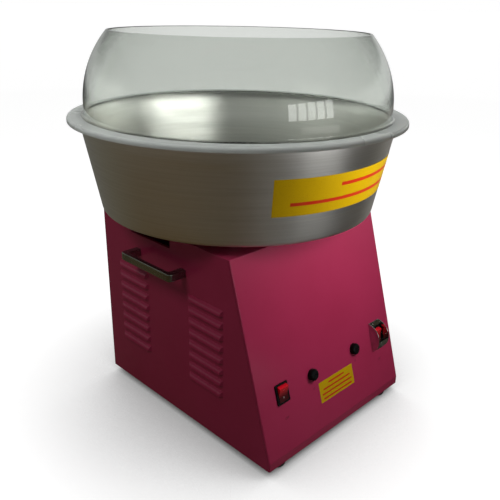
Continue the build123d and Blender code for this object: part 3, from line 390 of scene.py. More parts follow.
@dataclass(frozen=True)
class TurnedMetal(Finish):
    """Metal spun or turned round the vertical axis."""

    dark: Colour  # of the valleys between the rings
    rings: float  # rings per metre of climb
    relief: float  # strength of the rings
    drag: float  # how far highlights are drawn out across the rings

    def wire(self, board: Board) -> dict[str, Value]:
        """Wire rings, haze and drawn-out highlights.

        Args:
            board: The material's board.

        Returns:
            The shader's inputs by name.
        """
        fine = Effect.TURNED_RINGS.on(board, Scale=self.rings, Around=1.6)
        broad = Effect.TURNED_RINGS.on(board, Scale=self.rings * 0.12, Around=1.0)
        haze = Effect.SMUDGES.on(board, Scale=7.0, Amount=1.0)
        bands = board.spread(board.maths("ADD", fine, broad), 0.75, 1.3, 0.0, 0.5)
        layers = (bands, self.dark), (board.product(haze, 0.15), self.dark)
        rough = self.wander(board, broad, 0.02, 0.03)
        tangent = board.add("ShaderNodeTangent", direction_type="RADIAL", axis="Z")
        return {
            "Base Color": board.coats(self.colour, *layers),
            "Roughness": board.maths("ADD", rough, board.product(haze, 0.04)),
            "Normal": board.bump(fine, self.relief, 0.0001),
            "Metallic": 1.0,
            "Anisotropic": self.drag,
            "Anisotropic Rotation": 0.25,
            "Tangent": tangent.outputs[0],
        }


@dataclass(frozen=True)
class GrainedMetal(Finish):
    """Rolled, drawn, cast or plated metal."""

    dark: Colour  # of its worn or dull patches
    fineness: float  # scale of the grain
    relief: float = 0.15  # strength of the grain
    stretch: Point = (1.0, 1.0, 1.0)  # how the grain is drawn out along the axes
    wear: float = 0.3  # amount of bright wear along the edges

    def wire(self, board: Board) -> dict[str, Value]:
        """Wire the grain, dull patches and bright edges.

        Args:
            board: The material's board.

        Returns:
            The shader's inputs by name.
        """
        pattern = Effect.GRAIN.on(board, Scale=self.fineness, Stretch=self.stretch, Detail=4.0)
        dull = Effect.SMUDGES.on(board, Scale=24.0, Amount=0.5)
        deep = board.spread(pattern, 0.35, 0.75, 0.0, 0.4)
        bright = Effect.WORN_EDGES.on(board, Width=0.0005, Breakup=220.0, Amount=self.wear)
        layers = (deep, self.dark), (dull, self.dark), (bright, BARE_METAL)
        rough = self.wander(board, pattern, 0.05, 0.07)
        return {
            "Base Color": board.coats(self.colour, *layers),
            "Roughness": board.maths("ADD", rough, board.product(dull, 0.15)),
            "Normal": board.bump(pattern, self.relief, 0.0001, 0.0004),
            "Metallic": 1.0,
        }


@dataclass(frozen=True)
class Moulding(Finish):
    """Moulded plastic, rubber or fired ceramic."""

    dark: Colour  # of its duller patches
    fineness: float = 900.0  # scale of the moulded texture
    relief: float = 0.1  # strength of the texture
    gloss_coat: float = 0.0  # weight of a glossy skin
    shine: float = 0.5  # level of its plain reflection
    dusty: float = 0.06  # amount of dust that lies on it

    def wire(self, board: Board) -> dict[str, Value]:
        """Wire texture, dust and rubbed edges.

        Args:
            board: The material's board.

        Returns:
            The shader's inputs by name.
        """
        pattern = Effect.GRAIN.on(board, Scale=self.fineness, Detail=2.0)
        worn = Effect.WORN_EDGES.on(board, Width=0.0004, Breakup=260.0, Amount=0.2)
        settled = Effect.SETTLED_DUST.on(board, Scale=90.0, Amount=self.dusty)
        layers = (worn, RUBBED_EDGE), (settled, PALE_DUST)
        return {
            "Base Color": board.coats(self.body(board), *layers),
            "Roughness": self.wander(board, Effect.GRAIN.on(board, Scale=70.0), 0.07, 0.07),
            "Normal": board.bump(pattern, self.relief, 0.0001, 0.0004),
            "Specular IOR Level": self.shine,
            "Coat Weight": self.gloss_coat,
            "Coat Roughness": 0.08,
        }

    def body(self, board: Board) -> Socket:
        """Give the plastic's own colour, with its duller patches."""
        patches = Effect.SMUDGES.on(board, Scale=30.0, Amount=0.6)
        return board.blend(patches, self.colour, self.dark)


@dataclass(frozen=True)
class FootShadedMoulding(Moulding):
    """Moulded plastic with painted shade, darker towards its foot where the rocker sits in its
    recess's shadow.
    """

    deep: Colour = tone(60, 6, 12)  # painted shade of its foot
    reach: Span = (0.106, 0.122)  # heights between which the painted shade fades out, in metres

    def body(self, board: Board) -> Socket:
        """Give the plastic's colour, with painted shade darker towards the foot."""
        shade_fading = board.spread(board.parts(board.place())[2], *self.reach)
        return board.blend(shade_fading, self.deep, super().body(board))


@dataclass(frozen=True)
class ClearPlastic(Finish):
    """Clear acrylic or glass."""

    index: float = 1.49  # of refraction
    haze: float = 0.05  # roughness of the handled patches
    absorbed: float = 20.0  # density of its own tint, per metre
    clear: float = 1.0  # share of it that is clear, where the rest is milky

    def wire(self, board: Board) -> dict[str, Value]:
        """Wire transmission and faint handling marks.

        Args:
            board: The material's board.

        Returns:
            The shader's inputs by name.
        """
        marks = Effect.SMUDGES.on(board, Scale=9.0, Amount=self.haze)
        waves = Effect.GRAIN.on(board, Scale=5.0, Detail=1.0)
        return {
            "Roughness": board.maths("ADD", self.roughness, marks),
            "Normal": board.bump(waves, 0.05, 0.001),
            "Transmission Weight": self.clear,
            "Subsurface Weight": 1.0 - self.clear,
            "Subsurface Radius": (1.0, 1.0, 1.0),
            "Subsurface Scale": 0.01,
            "IOR": self.index,
        }

    def filling(self, board: Board) -> dict[str, Socket]:
        """Give the tint that deepens with the way through the solid."""
        tint = {"Color": GREENISH, "Density": self.absorbed}
        return {"Volume": board.add("ShaderNodeVolumeAbsorption", tint).outputs[0]}


@dataclass(frozen=True)
class Vinyl(Finish):
    """Printed film or ink, slightly faded."""

    faded: Colour  # where it has faded

    def wire(self, board: Board) -> dict[str, Value]:
        """Wire fading, fine speckle and a faint ripple.

        Args:
            board: The material's board.

        Returns:
            The shader's inputs by name.
        """
        fade = Effect.SMUDGES.on(board, Scale=18.0, Amount=0.4)
        speckle = board.spread(Effect.GRAIN.on(board, Scale=900.0, Detail=2.0), 0.5, 0.8, 0.0, 0.25)
        ripple = Effect.GRAIN.on(board, Scale=60.0, Detail=2.0)
        return {
            "Base Color": board.coats(self.colour, (fade, self.faded), (speckle, DARK_SPECKLE)),
            "Roughness": self.wander(board, Effect.GRAIN.on(board, Scale=30.0), 0.06, 0.06),
            "Normal": board.bump(ripple, 0.08, 0.0005),
            "Specular IOR Level": 0.15,
        }


BARE_METAL = tone(225, 225, 222)
RUBBED_EDGE = tone(150, 150, 148)
PALE_DUST = tone(170, 165, 160)
GREENISH = tone(150, 170, 152)
DARK_SPECKLE = tone(60, 45, 20)

PINK_ENAMEL = Enamel(
    "pink_enamel", tone(160, 42, 77), 0.38, shade=tone(144, 33, 64), dust=tone(176, 96, 118)
)
SPUN_BOWL = TurnedMetal(
    "spun_bowl_aluminium", tone(215, 214, 210), 0.38, tone(190, 188, 182),
    rings=1500.0, relief=0.06, drag=0.4,
)
TURNED_HEAD = TurnedMetal(
    "turned_head_aluminium", tone(196, 195, 190), 0.24, tone(150, 148, 142),
    rings=2400.0, relief=0.25, drag=0.5,
)
ZINC_SHEET = GrainedMetal(
    "galvanised_steel", tone(165, 168, 168), 0.36, tone(120, 124, 126), 26.0, 0.03
)
SATIN_CHROME = GrainedMetal(
    "satin_chrome", tone(150, 154, 146), 0.22, tone(96, 100, 92), 500.0, 0.08, (8.0, 0.6, 8.0)
)
MIRROR_CHROME = GrainedMetal(
    "mirror_chrome", tone(205, 207, 205), 0.07, tone(140, 144, 140), 60.0, 0.02, wear=0.1
)
BOLT_STEEL = GrainedMetal(
    "bolt_steel", tone(176, 176, 172), 0.26, tone(110, 108, 104), 700.0, 0.08
)
HOT_STEEL = GrainedMetal(
    "heat_stained_steel", tone(118, 100, 92), 0.38, tone(72, 58, 70), 160.0, stretch=(1.0, 1.0, 6.0)
)
TURNED_BRASS = GrainedMetal(
    "turned_brass", tone(214, 172, 92), 0.24, tone(140, 104, 54), 240.0, stretch=(1.0, 1.0, 12.0)
)
CAST_ALUMINIUM = GrainedMetal(
    "cast_aluminium", tone(160, 162, 162), 0.5, tone(120, 122, 122), 260.0, 0.45
)
LAMINATED_IRON = GrainedMetal(
    "stacked_iron", tone(92, 94, 96), 0.5, tone(50, 50, 52), 180.0, 0.5, (0.1, 0.1, 9.0)
)
BLACK_NYLON = Moulding(
    "black_polyamide", tone(5, 5, 6), 0.42, tone(9, 9, 9), shine=0.12, dusty=0.004
)
BLACK_RUBBER = Moulding("black_rubber", tone(30, 30, 31), 0.68, tone(44, 43, 42), 1400.0, 0.3)
# Red rockers, whose feet carry painted shade.
RED_ROCKER = FootShadedMoulding(
    "red_rocker_plastic", tone(204, 14, 34), 0.22, tone(180, 10, 28),
    relief=0.03, gloss_coat=0.3, shine=0.25, dusty=0.01,
)
WHITE_NYLON = Moulding("white_nylon", tone(222, 220, 212), 0.45, tone(196, 192, 180))
WHITE_CERAMIC = Moulding(
    "white_ceramic", tone(226, 222, 208), 0.38, tone(186, 176, 156), relief=0.2
)
BROWN_PHENOLIC = Moulding("brown_phenolic", tone(88, 50, 30), 0.4, tone(58, 34, 22), 500.0)
BRUSH_CARBON = Moulding("brush_carbon", tone(42, 42, 44), 0.55, tone(28, 28, 29), relief=0.25)
DOME_ACRYLIC = ClearPlastic("clear_acrylic", tone(232, 234, 231), 0.02, absorbed=45.0)
HANDLED_ACRYLIC = ClearPlastic(
    "handled_acrylic", tone(232, 244, 234), 0.2, haze=0.1, absorbed=18.0, clear=0.12
)
FUSE_GLASS = ClearPlastic("clear_glass", tone(240, 244, 244), 0.01, index=1.5)
YELLOW_VINYL = Vinyl("yellow_vinyl", tone(186, 150, 0), 0.45, tone(176, 140, 4))
RED_INK = Vinyl("red_ink", tone(184, 44, 18), 0.4, tone(170, 60, 28))
DARK_INK = Vinyl("dark_ink", tone(74, 20, 34), 0.45, tone(92, 34, 48))
WHITE_INK = Vinyl("white_ink", tone(196, 172, 170), 0.4, tone(180, 150, 148))

# ------------------------------------------------------------------ mesh tools


def dress(finish: Finish, *nodes: str) -> None:
    """Give CAD nodes a finish.

    Args:
        finish: The finish.
        nodes: Names of the CAD nodes.
    """
    for name in nodes:
        node = frame["nodes"][name]
        if not node.data.materials:
            node.data.materials.append(None)
        for slot in node.material_slots:
            slot.link = "OBJECT"
            slot.material = finish.material()
        LOG.info("dressed %s in %s", name, finish.name)


def link(name: str, data: bpy.types.ID) -> bpy.types.Object:
    """Make an object of its data and link it to the scene."""
    bpy.context.scene.collection.objects.link(made := bpy.data.objects.new(name, data))
    return made


def link_mesh(name: str, shape: Shape, *materials: bpy.types.Material) -> bpy.types.Object:
    """Make a mesh object and link it to the scene.

    Args:
        name: Its name.
        shape: Points in the row frame, in metres, and faces.
        materials: Its material, if it has one.

    Returns:
        The object.
    """
    mesh = bpy.data.meshes.new(name)
    mesh.from_pydata(shape[0], [], shape[1])
    for material in materials:
        mesh.materials.append(material)
    return link(name, mesh)


def build_piece(
    name: str, shape: Shape, finish: Finish, body: str
) -> bpy.types.Object:
    """Make one mesh piece that rides on a body.

    Args:
        name: Name of the piece.
        shape: Its points and faces.
        finish: Its finish.
        body: CAD body that carries it.

    Returns:
        The new object.
    """
    piece = link_mesh(name, shape, finish.material())
    piece.data.validate()
    piece.data.shade_smooth()
    piece.data.set_sharp_from_angle(angle=math.radians(35))
    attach(piece, body)
    LOG.info("built %s: %d faces on %s", name, len(piece.data.polygons), body)
    return piece


def read_back(holder: bpy.types.Object) -> Shape:
    """Give the mesh that an object comes to, and delete the object.

    Args:
        holder: Object with a modifier, or a text.

    Returns:
        Points and faces.
    """
    bpy.context.view_layer.update()
    final = holder.evaluated_get(bpy.context.evaluated_depsgraph_get())
    mesh = bpy.data.meshes.new_from_object(final)
    shape = [tuple(v.co) for v in mesh.vertices], [tuple(p.vertices) for p in mesh.polygons]
    bpy.data.batch_remove([holder, holder.data, mesh])
    return shape


def arc(centre: Span, radius: float, start: float, end: float, steps: int) -> Outline:
    """Points along an arc of a profile, both ends included, with angles in degrees."""
    angles = [math.radians(start + (end - start) * k / steps) for k in range(steps + 1)]
    return [(centre[0] + radius * math.cos(a), centre[1] + radius * math.sin(a)) for a in angles]


def polar(radius: float, turn: float, height: float) -> Point:
    """Point at a radius and a direction, in degrees, round the vertical axis."""
    angle = math.radians(turn)
    return (radius * math.cos(angle), radius * math.sin(angle), height)


def hoop(low: int, high: int, count: int) -> list[tuple[int, ...]]:
    """Faces between two closed loops of corners, from the number of each loop's first."""
    steps = [(k, (k + 1) % count) for k in range(count)]
    return [(low + k, high + k, high + after, low + after) for k, after in steps]


def lathe(profile: Outline, segments: int) -> Shape:
    """Turn a closed profile round the vertical axis.

    Args:
        profile: Points as radius and height, going round the section once.
        segments: Steps round the axis.

    Returns:
        Points and faces.
    """
    count = len(profile)
    turns = [360 * step / segments for step in range(segments)]
    points = [polar(r, turn, z) for turn in turns for r, z in profile]
    loops = [hoop(k * count, (k + 1) % segments * count, count) for k in range(segments)]
    return points, [face for loop in loops for face in loop]


def patch(
    surface: Callable[[float, float, float], Union[Point, Vector]],
    across: Span,
    up: Span,
    out: float,
    thickness: float,
    columns: int = 8,
    rows: int = 4,
) -> Shape:
    """Thin closed plate laid over a surface.

    Args:
        surface: Gives a point from its places across, up and out of the surface.
        across: Left and right edge.
        up: Lower and upper edge.
        out: Height of the plate's back over the surface.
        thickness: Its thickness.
        columns: Steps across.
        rows: Steps up.

    Returns:
        Points and faces.
    """
    wide, layer = columns + 1, (columns + 1) * (rows + 1)
    xs = [across[0] + (across[1] - across[0]) * k / columns for k in range(wide)]
    ys = [up[0] + (up[1] - up[0]) * k / rows for k in range(rows + 1)]
    points = [tuple(surface(x, y, z)) for z in (out, out + thickness) for y in ys for x in xs]
    faces = []
    for corner in (row * wide + column for row in range(rows) for column in range(columns)):
        square = (corner, corner + 1, corner + 1 + wide, corner + wide)
        faces += [tuple(layer + k for k in square), square[::-1]]
    border = [*range(columns), *range(columns, layer - 1, wide)]
    border += [*range(layer - 1, layer - wide, -1), *range(layer - wide, 0, -wide)]
    following = border[1:] + border[:1]
    return points, faces + [(a, b, layer + b, layer + a) for a, b in zip(border, following)]


def join_shapes(shapes: Sequence[Shape]) -> Shape:
    """Put several shapes in one.

    Args:
        shapes: Points and faces of each.

    Returns:
        Points and faces of all.
    """
    points, faces = [], []
    for more_points, more_faces in shapes:
        start = len(points)
        points += more_points
        faces += [tuple(start + k for k in face) for face in more_faces]
    return points, faces


def peg(middle: Point, radius: float, depth: float, steps: int = 32) -> Shape:
    """Closed upright cylinder.

    Args:
        middle: Its middle.
        radius: Its radius.
        depth: Its height.
        steps: Corners round it.

    Returns:
        Points and faces.
    """
    x, y, z = middle
    ring = [(x + dx, y + dy) for dx, dy in arc((0.0, 0.0), radius, 0, 360, steps)[:-1]]
    points = [(*corner, z + end * depth / 2) for end in (-1, 1) for corner in ring]
    ends = [tuple(reversed(range(steps))), tuple(range(steps, 2 * steps))]
    return points, hoop(steps, 0, steps) + ends


def drilled(shape: Shape, holes: Sequence[Point], radius: float, depth: float) -> Shape:
    """Drill upright holes through a closed shape.

    Args:
        shape: Points and faces.
        holes: Middle of each hole.
        radius: Their radius.
        depth: Their depth, half of it over the middle and half below.

    Returns:
        Points and faces with the holes.
    """
    body = link_mesh("undrilled", shape)
    cutter = link_mesh("drill", join_shapes([peg(hole, radius, depth) for hole in holes]))
    cut = body.modifiers.new("holes", "BOOLEAN")
    cut.operation, cut.solver, cut.object = "DIFFERENCE", "EXACT", cutter
    result = read_back(body)
    bpy.data.batch_remove([cutter, cutter.data])
    return result


def printed(words: str, size: float) -> Shape:
    """Flat outline of a few characters, centred.

    Args:
        words: The characters.
        size: Height of the type, in metres.

    Returns:
        Points and faces.
    """
    curve = bpy.data.curves.new("print", "FONT")
    curve.body, curve.size = words, size
    curve.align_x = curve.align_y = "CENTER"
    return read_back(link("print", curve))


@dataclass(frozen=True)
class PanScrew:
    """Pan head screw with a cross recess."""

    radius: float = 3.4 * MM  # of the head
    height: float = 2.0 * MM  # of the head
    recess: float = 1.1 * MM  # depth of the cross
    arm_width: float = 0.16  # half the width of its arms, as a share of the radius
    arm_reach: float = 0.58  # how far they reach, as a share of the radius
    rings: int = 9
    spokes: int = 32

    def shape(self, centre: Point, axis: Point, turn: float) -> Shape:
        """Build one head as a closed cap.

        Args:
            centre: Middle of its seat.
            axis: Direction it faces.
            turn: How far the cross is turned, in radians.

        Returns:
            Points and faces.
        """
        points = [self.lift(0.0, 0.0)]
        for ring in range(1, self.rings + 1):
            reach = self.radius * ring / self.rings
            points += [self.lift(x, y) for x, y in arc((0, 0), reach, 0, 360, self.spokes)[:-1]]
        points += [Vector((p.x, p.y, 0.0)) for p in points[-self.spokes:]]
        faces = [(0, 1 + k, 1 + (k + 1) % self.spokes) for k in range(self.spokes)]
        starts = [1 + ring * self.spokes for ring in range(self.rings + 1)]
        for low, high in zip(starts, starts[1:]):
            faces += hoop(low, high, self.spokes)
        faces.append(tuple(starts[-1] + k for k in reversed(range(self.spokes))))
        aim = Vector(axis).to_track_quat("Z", "Y").to_matrix() @ Matrix.Rotation(turn, 3, "Z")
        return [tuple(Vector(centre) + aim @ p) for p in points], faces

    def lift(self, across: float, along: float) -> Vector:
        """Point of the head's face over its seat.

        Args:
            across: Distance across the head.
            along: Distance along the head.

        Returns:
            The point, with the cross pressed in.
        """
        share = min(math.hypot(across, along) / self.radius, 1.0)
        dome = self.height * math.sqrt(max(1.0 - share**3, 0.02))
        near = min(abs(across), abs(along)) / self.radius
        pressed = self.recess if near < self.arm_width and share < self.arm_reach else 0.0
        return Vector((across, along, dome - pressed))


# ------------------------------------------------------------------ sub-assemblies


@dataclass
class FrontFace:
    """The sloping face of the cabinet, as a place to put things on."""

    lip: float = 13.5 * MM  # height of the upright lip under the slope
    top_reach: float = 152.5 * MM  # how far the deck's front edge is ahead of the axis
    sheet: float = 1.2 * MM  # thickness of the deck that covers the face's upper edge

    def __post_init__(self) -> None:
        """Work out the face's place and slope from the CAD boxes."""
        low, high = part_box("front_panel")
        self.foot = Vector((0.0, low.y, low.z + self.lip))
        rise = high.z + self.sheet - self.foot.z
        self.slope = math.atan2(-low.y - self.top_reach, rise)
        self.up = Vector((0.0, math.sin(self.slope), math.cos(self.slope)))
        self.out = Vector((0.0, -math.cos(self.slope), math.sin(self.slope)))

    def at(self, across: float, up: float, out: float = 0.0) -> Vector:
        """Point on the face, from distances right of its middle, up its slope and out of it."""
        return self.foot + Vector((across, 0.0, 0.0)) + self.up * up + self.out * out


@dataclass
class Cabinet:
    """Painted cabinet with its handles, feet, deck and rear fittings."""

    screw_inset: float = 9.0 * MM  # screws' distance from the rear panel's edges
    tray_inset: float = 7.0 * MM  # screws' distance from the tray's edges
    tray_share: float = 0.28  # their distance from its front and rear, by share of its depth
    inlet_screws: float = 40.0 * MM  # distance between the inlet's two screws
    inlet_sunk: float = 0.2 * MM  # how deep they sit in it

    def build(self) -> None:
        """Dress the cabinet and add the screws that hold its panels."""
        panels = ("front_panel", "left_side_panel", "right_side_panel", "rear_panel")
        dress(PINK_ENAMEL, *panels, "top_deck")
        dress(ZINC_SHEET, "base_tray", "capacitor_clip")
        dress(BLACK_RUBBER, "rubber_feet")
        dress(BOLT_STEEL, "foot_screws", "foot_nuts", "handle_screws")
        dress(SATIN_CHROME, "left_handle", "right_handle")
        dress(BLACK_NYLON, "power_inlet")
        dress(TURNED_BRASS, "inlet_pins")
        dress(WHITE_NYLON, "bowl_seats", "terminal_block")
        dress(CAST_ALUMINIUM, "motor_capacitor")
        self.rear_screws()
        self.tray_screws()
        self.inlet_fixings()

    def screws(self, name: str, screw: PanScrew, seats: dict[Point, float], axis: Point) -> None:
        """Add a set of equal screws.

        Args:
            name: Name of the piece.
            screw: Its kind.
            seats: How far each is turned, in radians, by the middle of its seat.
            axis: Direction they face.
        """
        shapes = [screw.shape(seat, axis, turn) for seat, turn in seats.items()]
        build_piece(name, join_shapes(shapes), BOLT_STEEL, "cabinet")

    def rear_screws(self) -> None:
        """Add the screws round the rear panel."""
        low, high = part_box("rear_panel")
        inset, middle = self.screw_inset, (low.z + high.z) / 2
        heights = (low.z + 3 * inset, middle, high.z - 2 * inset)
        spots = [(side * (high.x - inset), high.y, z) for side in (-1, 1) for z in heights]
        seats = {spot: 0.7 * number for number, spot in enumerate(spots)}
        self.screws("rear_panel_screws", PanScrew(), seats, (0, 1, 0))

    def tray_screws(self) -> None:
        """Add the screws that hold the tray, seen from below."""
        low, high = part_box("base_tray")
        xs = (low.x + self.tray_inset, high.x - self.tray_inset)
        ys = [low.y + share * (high.y - low.y) for share in (self.tray_share, 1 - self.tray_share)]
        seats = {(x, y, low.z): 0.9 * x / MM for x in xs for y in ys}
        screw = PanScrew(radius=3.0 * MM, height=1.6 * MM)
        self.screws("base_tray_screws", screw, seats, (0, 0, -1))

    def inlet_fixings(self) -> None:
        """Add the two screws of the power inlet."""
        low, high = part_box("power_inlet")
        middle, apart = (low + high) / 2, self.inlet_screws / 2
        out = high.y - self.inlet_sunk
        seats = {(middle.x + side * apart, out, middle.z): 0.5 + side for side in (-1, 1)}
        screw = PanScrew(radius=2.8 * MM, height=1.4 * MM, recess=0.8 * MM)
        self.screws("inlet_screws", screw, seats, (0, 1, 0))


@dataclass
class Controls:
    """Switches, guard, fuse holders and the prints round them."""

    face: FrontFace  # the sloping face they sit on
    plate_across: Span = (-36.0 * MM, 47.5 * MM)  # side edges of the small yellow plate
    plate_up: Span = (37.0 * MM, 69.8 * MM)  # its lower and upper edge, up the slope
    film: float = 0.18 * MM  # thickness of the yellow film
    ink: float = 0.05 * MM  # thickness of the ink
    inset: float = 3.0 * MM  # the rules' least distance from the plate's side edges
    rule: float = 2.6 * MM  # height of a rule
    # share of the plate's height and of its width for each rule
    rules: tuple[Span, ...] = ((0.8, 0.5), (0.58, 0.86), (0.36, 0.95), (0.14, 0.9))
    # words, their height and their place across and up the face, in millimetres
    marks: tuple[tuple[str, float, float, float], ...] = (
        ("OFF", 5.0, -112.5, 49.0),
        ("10", 4.6, -47.0, 66.0),
        ("10", 4.6, 58.0, 70.0),
        ("OFF", 5.0, 121.5, 49.0),
    )
    # words, their height and how far above the rocker's middle they are, in millimetres
    rocker_marks: tuple[tuple[str, float, float], ...] = (("I", 3.6, 5.4), ("O", 3.2, -6.2))
    sight: float = 40.0 * MM  # how far out of the face a mark starts on its way to a rocker

    def build(self) -> None:
        """Dress the controls and add the plate and the prints."""
        dress(BLACK_NYLON, "power_switch_housing", "heat_switch_housing", "fuse_holder_nuts")
        fuses = ("left_fuse_holder", "right_fuse_holder", "left_fuse_cap", "right_fuse_cap")
        dress(BLACK_NYLON, *fuses)
        dress(RED_ROCKER, "power_rocker", "heat_rocker")
        dress(MIRROR_CHROME, "switch_guard")
        dress(TURNED_BRASS, "switch_terminals")
        dress(FUSE_GLASS, "left_fuse_cartridge", "right_fuse_cartridge")
        self.yellow_plate()
        marks = [self.mark(words, *(size * MM for size in sizes)) for words, *sizes in self.marks]
        build_piece("panel_marks", join_shapes(marks), DARK_INK, "cabinet")
        for rocker in ("power_rocker", "heat_rocker"):
            self.rocker_print(rocker)

    def yellow_plate(self) -> None:
        """Add the small yellow plate with its plain red rules."""
        plate = patch(self.face.at, self.plate_across, self.plate_up, 0.0, self.film)
        build_piece("front_plate", plate, YELLOW_VINYL, "cabinet")
        (left, right), (foot, head) = self.plate_across, self.plate_up
        middle, half = (left + right) / 2, (right - left) / 2 - self.inset
        rules = []
        for share, reach in self.rules:
            low = foot + (head - foot) * share - self.rule / 2
            across = (middle - half * reach, middle + half * reach)
            rules.append(patch(self.face.at, across, (low, low + self.rule), self.film, self.ink))
        build_piece("front_plate_rules", join_shapes(rules), RED_INK, "cabinet")

    def mark(
        self, words: str, size: float, across: float, up: float, target: Optional[BVHTree] = None
    ) -> Shape:
        """Print a few characters on the face or on a piece over it.

        Args:
            words: The characters.
            size: Height of the type.
            across: Its middle, across the face.
            up: Its middle, up the slope.
            target: Surface to print on instead of the face itself.

        Returns:
            Points and faces of the ink, front and back.
        """
        flat, faces = printed(words, size)
        points = []
        for height in (self.ink, 0.0):
            for x, y, _ in flat:
                spot = self.face.at(across + x, up + y)
                if target is not None:
                    above = self.face.at(across + x, up + y, self.sight)
                    spot = target.ray_cast(above, -self.face.out)[0] or spot
                points.append(tuple(spot + self.face.out * height))
        return points, faces + [tuple(len(flat) + k for k in reversed(face)) for face in faces]

    def rocker_print(self, node: str) -> None:
        """Print the I and O of one rocker.

        Args:
            node: The rocker.
        """
        low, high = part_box(node)
        middle = (low + high) / 2
        up = (middle - self.face.foot).dot(self.face.up)
        surface = BVHTree.FromObject(frame["nodes"][node], bpy.context.evaluated_depsgraph_get())
        shapes = [
            self.mark(word, size * MM, middle.x, up + lift * MM, surface)
            for word, size, lift in self.rocker_marks
        ]
        build_piece(node + "_marks", join_shapes(shapes), WHITE_INK, node)


@dataclass
class Bowl:
    """Spun aluminium bowl with its yellow band."""

    hole_radius: float = 82.0 * MM
    bottom_radius: float = 216.6 * MM  # of the floor's outer corner
    rim_radius: float = 243.0 * MM
    neck: float = 7.0 * MM  # height of the turned-up edge round the hole
    neck_bend: float = 4.0 * MM  # radius of the bend under it
    corner: float = 8.0 * MM  # radius of the outer bottom corner
    wall: float = 1.5 * MM  # thickness of the sheet
    bead: float = 3.0 * MM  # radius of the rolled rim
    bead_turn: Span = (205.0, 510.0)  # where its roll starts and ends, in degrees
    seat_reach: float = 106.07 * MM  # distance of each seat's hole from the axis, along X and Y
    seat_hole: float = 4.6 * MM  # radius of those holes
    seat_drill: float = 8.0 * MM  # depth to which they are drilled
    segments: int = 240
    band_start: float = -123.0  # direction of the band's left end, in degrees
    band_sweep: float = 87.0  # how far it goes round, in degrees
    band_up: Span = (45.0 * MM, 98.0 * MM)  # its edges, over the bowl's underside
    band_gap: float = 0.05 * MM  # between the wall and the film
    film: float = 0.2 * MM
    ink: float = 0.05 * MM
    rule: float = 5.0 * MM  # height of a rule on the band
    rules: tuple[Span, ...] = ((0.66, 0.42), (0.27, 0.86))  # height and length, by share

    def build(self) -> None:
        """Build the bowl, its band and the band's rules."""
        low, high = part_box("bowl")
        self.base = low.z
        self.rim = high.z - self.bead
        self.lean = math.atan2(self.rim_radius - self.bottom_radius, self.rim - self.base)
        reach = (-self.seat_reach, self.seat_reach)
        holes = [(x, y, self.base) for x in reach for y in reach]
        solid = lathe(self.section(), self.segments)
        shape = drilled(solid, holes, self.seat_hole, self.seat_drill)
        shell = build_piece("bowl_shell", shape, SPUN_BOWL, "bowl")
        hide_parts("bowl")
        self.band()

    def section(self) -> Outline:
        """Draw the closed section of the wall, from the neck out to the bead and back.

        Returns:
            Points as radius and height.
        """
        base, wall, neck = self.base, self.wall, self.base + self.neck
        tilt, run = math.degrees(self.lean), wall / math.cos(self.lean)
        bend = (self.hole_radius + self.neck_bend, base + self.neck_bend)
        cut = self.corner * math.tan((math.pi / 2 - self.lean) / 2)
        turn = (self.bottom_radius - cut, base + self.corner)
        width, rise = self.bottom_radius - self.hole_radius, self.rim - turn[1]
        floor = [self.hole_radius + k * width / 8 for k in range(1, 8)]
        climb = [turn[1] + k * rise / 12 for k in range(1, 12)]
        side = [(self.bottom_radius + (z - base) * math.tan(self.lean), z) for z in climb]
        outer = [(self.hole_radius, neck)] + arc(bend, self.neck_bend, 180, 270, 6)
        outer += [(r, base) for r in floor] + arc(turn, self.corner, -90, -tilt, 10) + side
        outer += arc((self.rim_radius + self.bead / 2, self.rim), self.bead, *self.bead_turn, 26)
        inner = [(self.hole_radius + wall, neck)] + arc(bend, self.neck_bend - wall, 180, 270, 6)
        inner += [(r, base + wall) for r in floor] + arc(turn, self.corner - wall, -90, -tilt, 10)
        inner += [(r - run, z) for r, z in side]
        return outer + inner[::-1]

    def on_wall(self, turn: float, height: float, out: float) -> Point:
        """Point over the wall, from a direction in degrees, a height over the floor and a gap."""
        reach = self.bottom_radius + height * math.tan(self.lean) + out / math.cos(self.lean)
        return polar(reach, turn, self.base + height)

    def strip(self, start: float, sweep: float, up: Span, out: float, thickness: float) -> Shape:
        """Thin strip bent round the wall, from a start and a sweep in degrees."""
        columns = max(int(sweep), 8)
        return patch(self.on_wall, (start, start + sweep), up, out, thickness, columns, 6)

    def band(self) -> None:
        """Add the yellow band and its two plain red rules."""
        band = self.strip(self.band_start, self.band_sweep, self.band_up, self.band_gap, self.film)
        build_piece("bowl_band", band, YELLOW_VINYL, "bowl")
        foot, head = self.band_up
        rules = []
        for share, length in self.rules:
            low = foot + (head - foot) * share
            start = self.band_start + self.band_sweep * (1 - length) / 2
            up, out = (low, low + self.rule), self.band_gap + self.film
            rules.append(self.strip(start, self.band_sweep * length, up, out, self.ink))
        build_piece("bowl_band_rules", join_shapes(rules), RED_INK, "bowl")


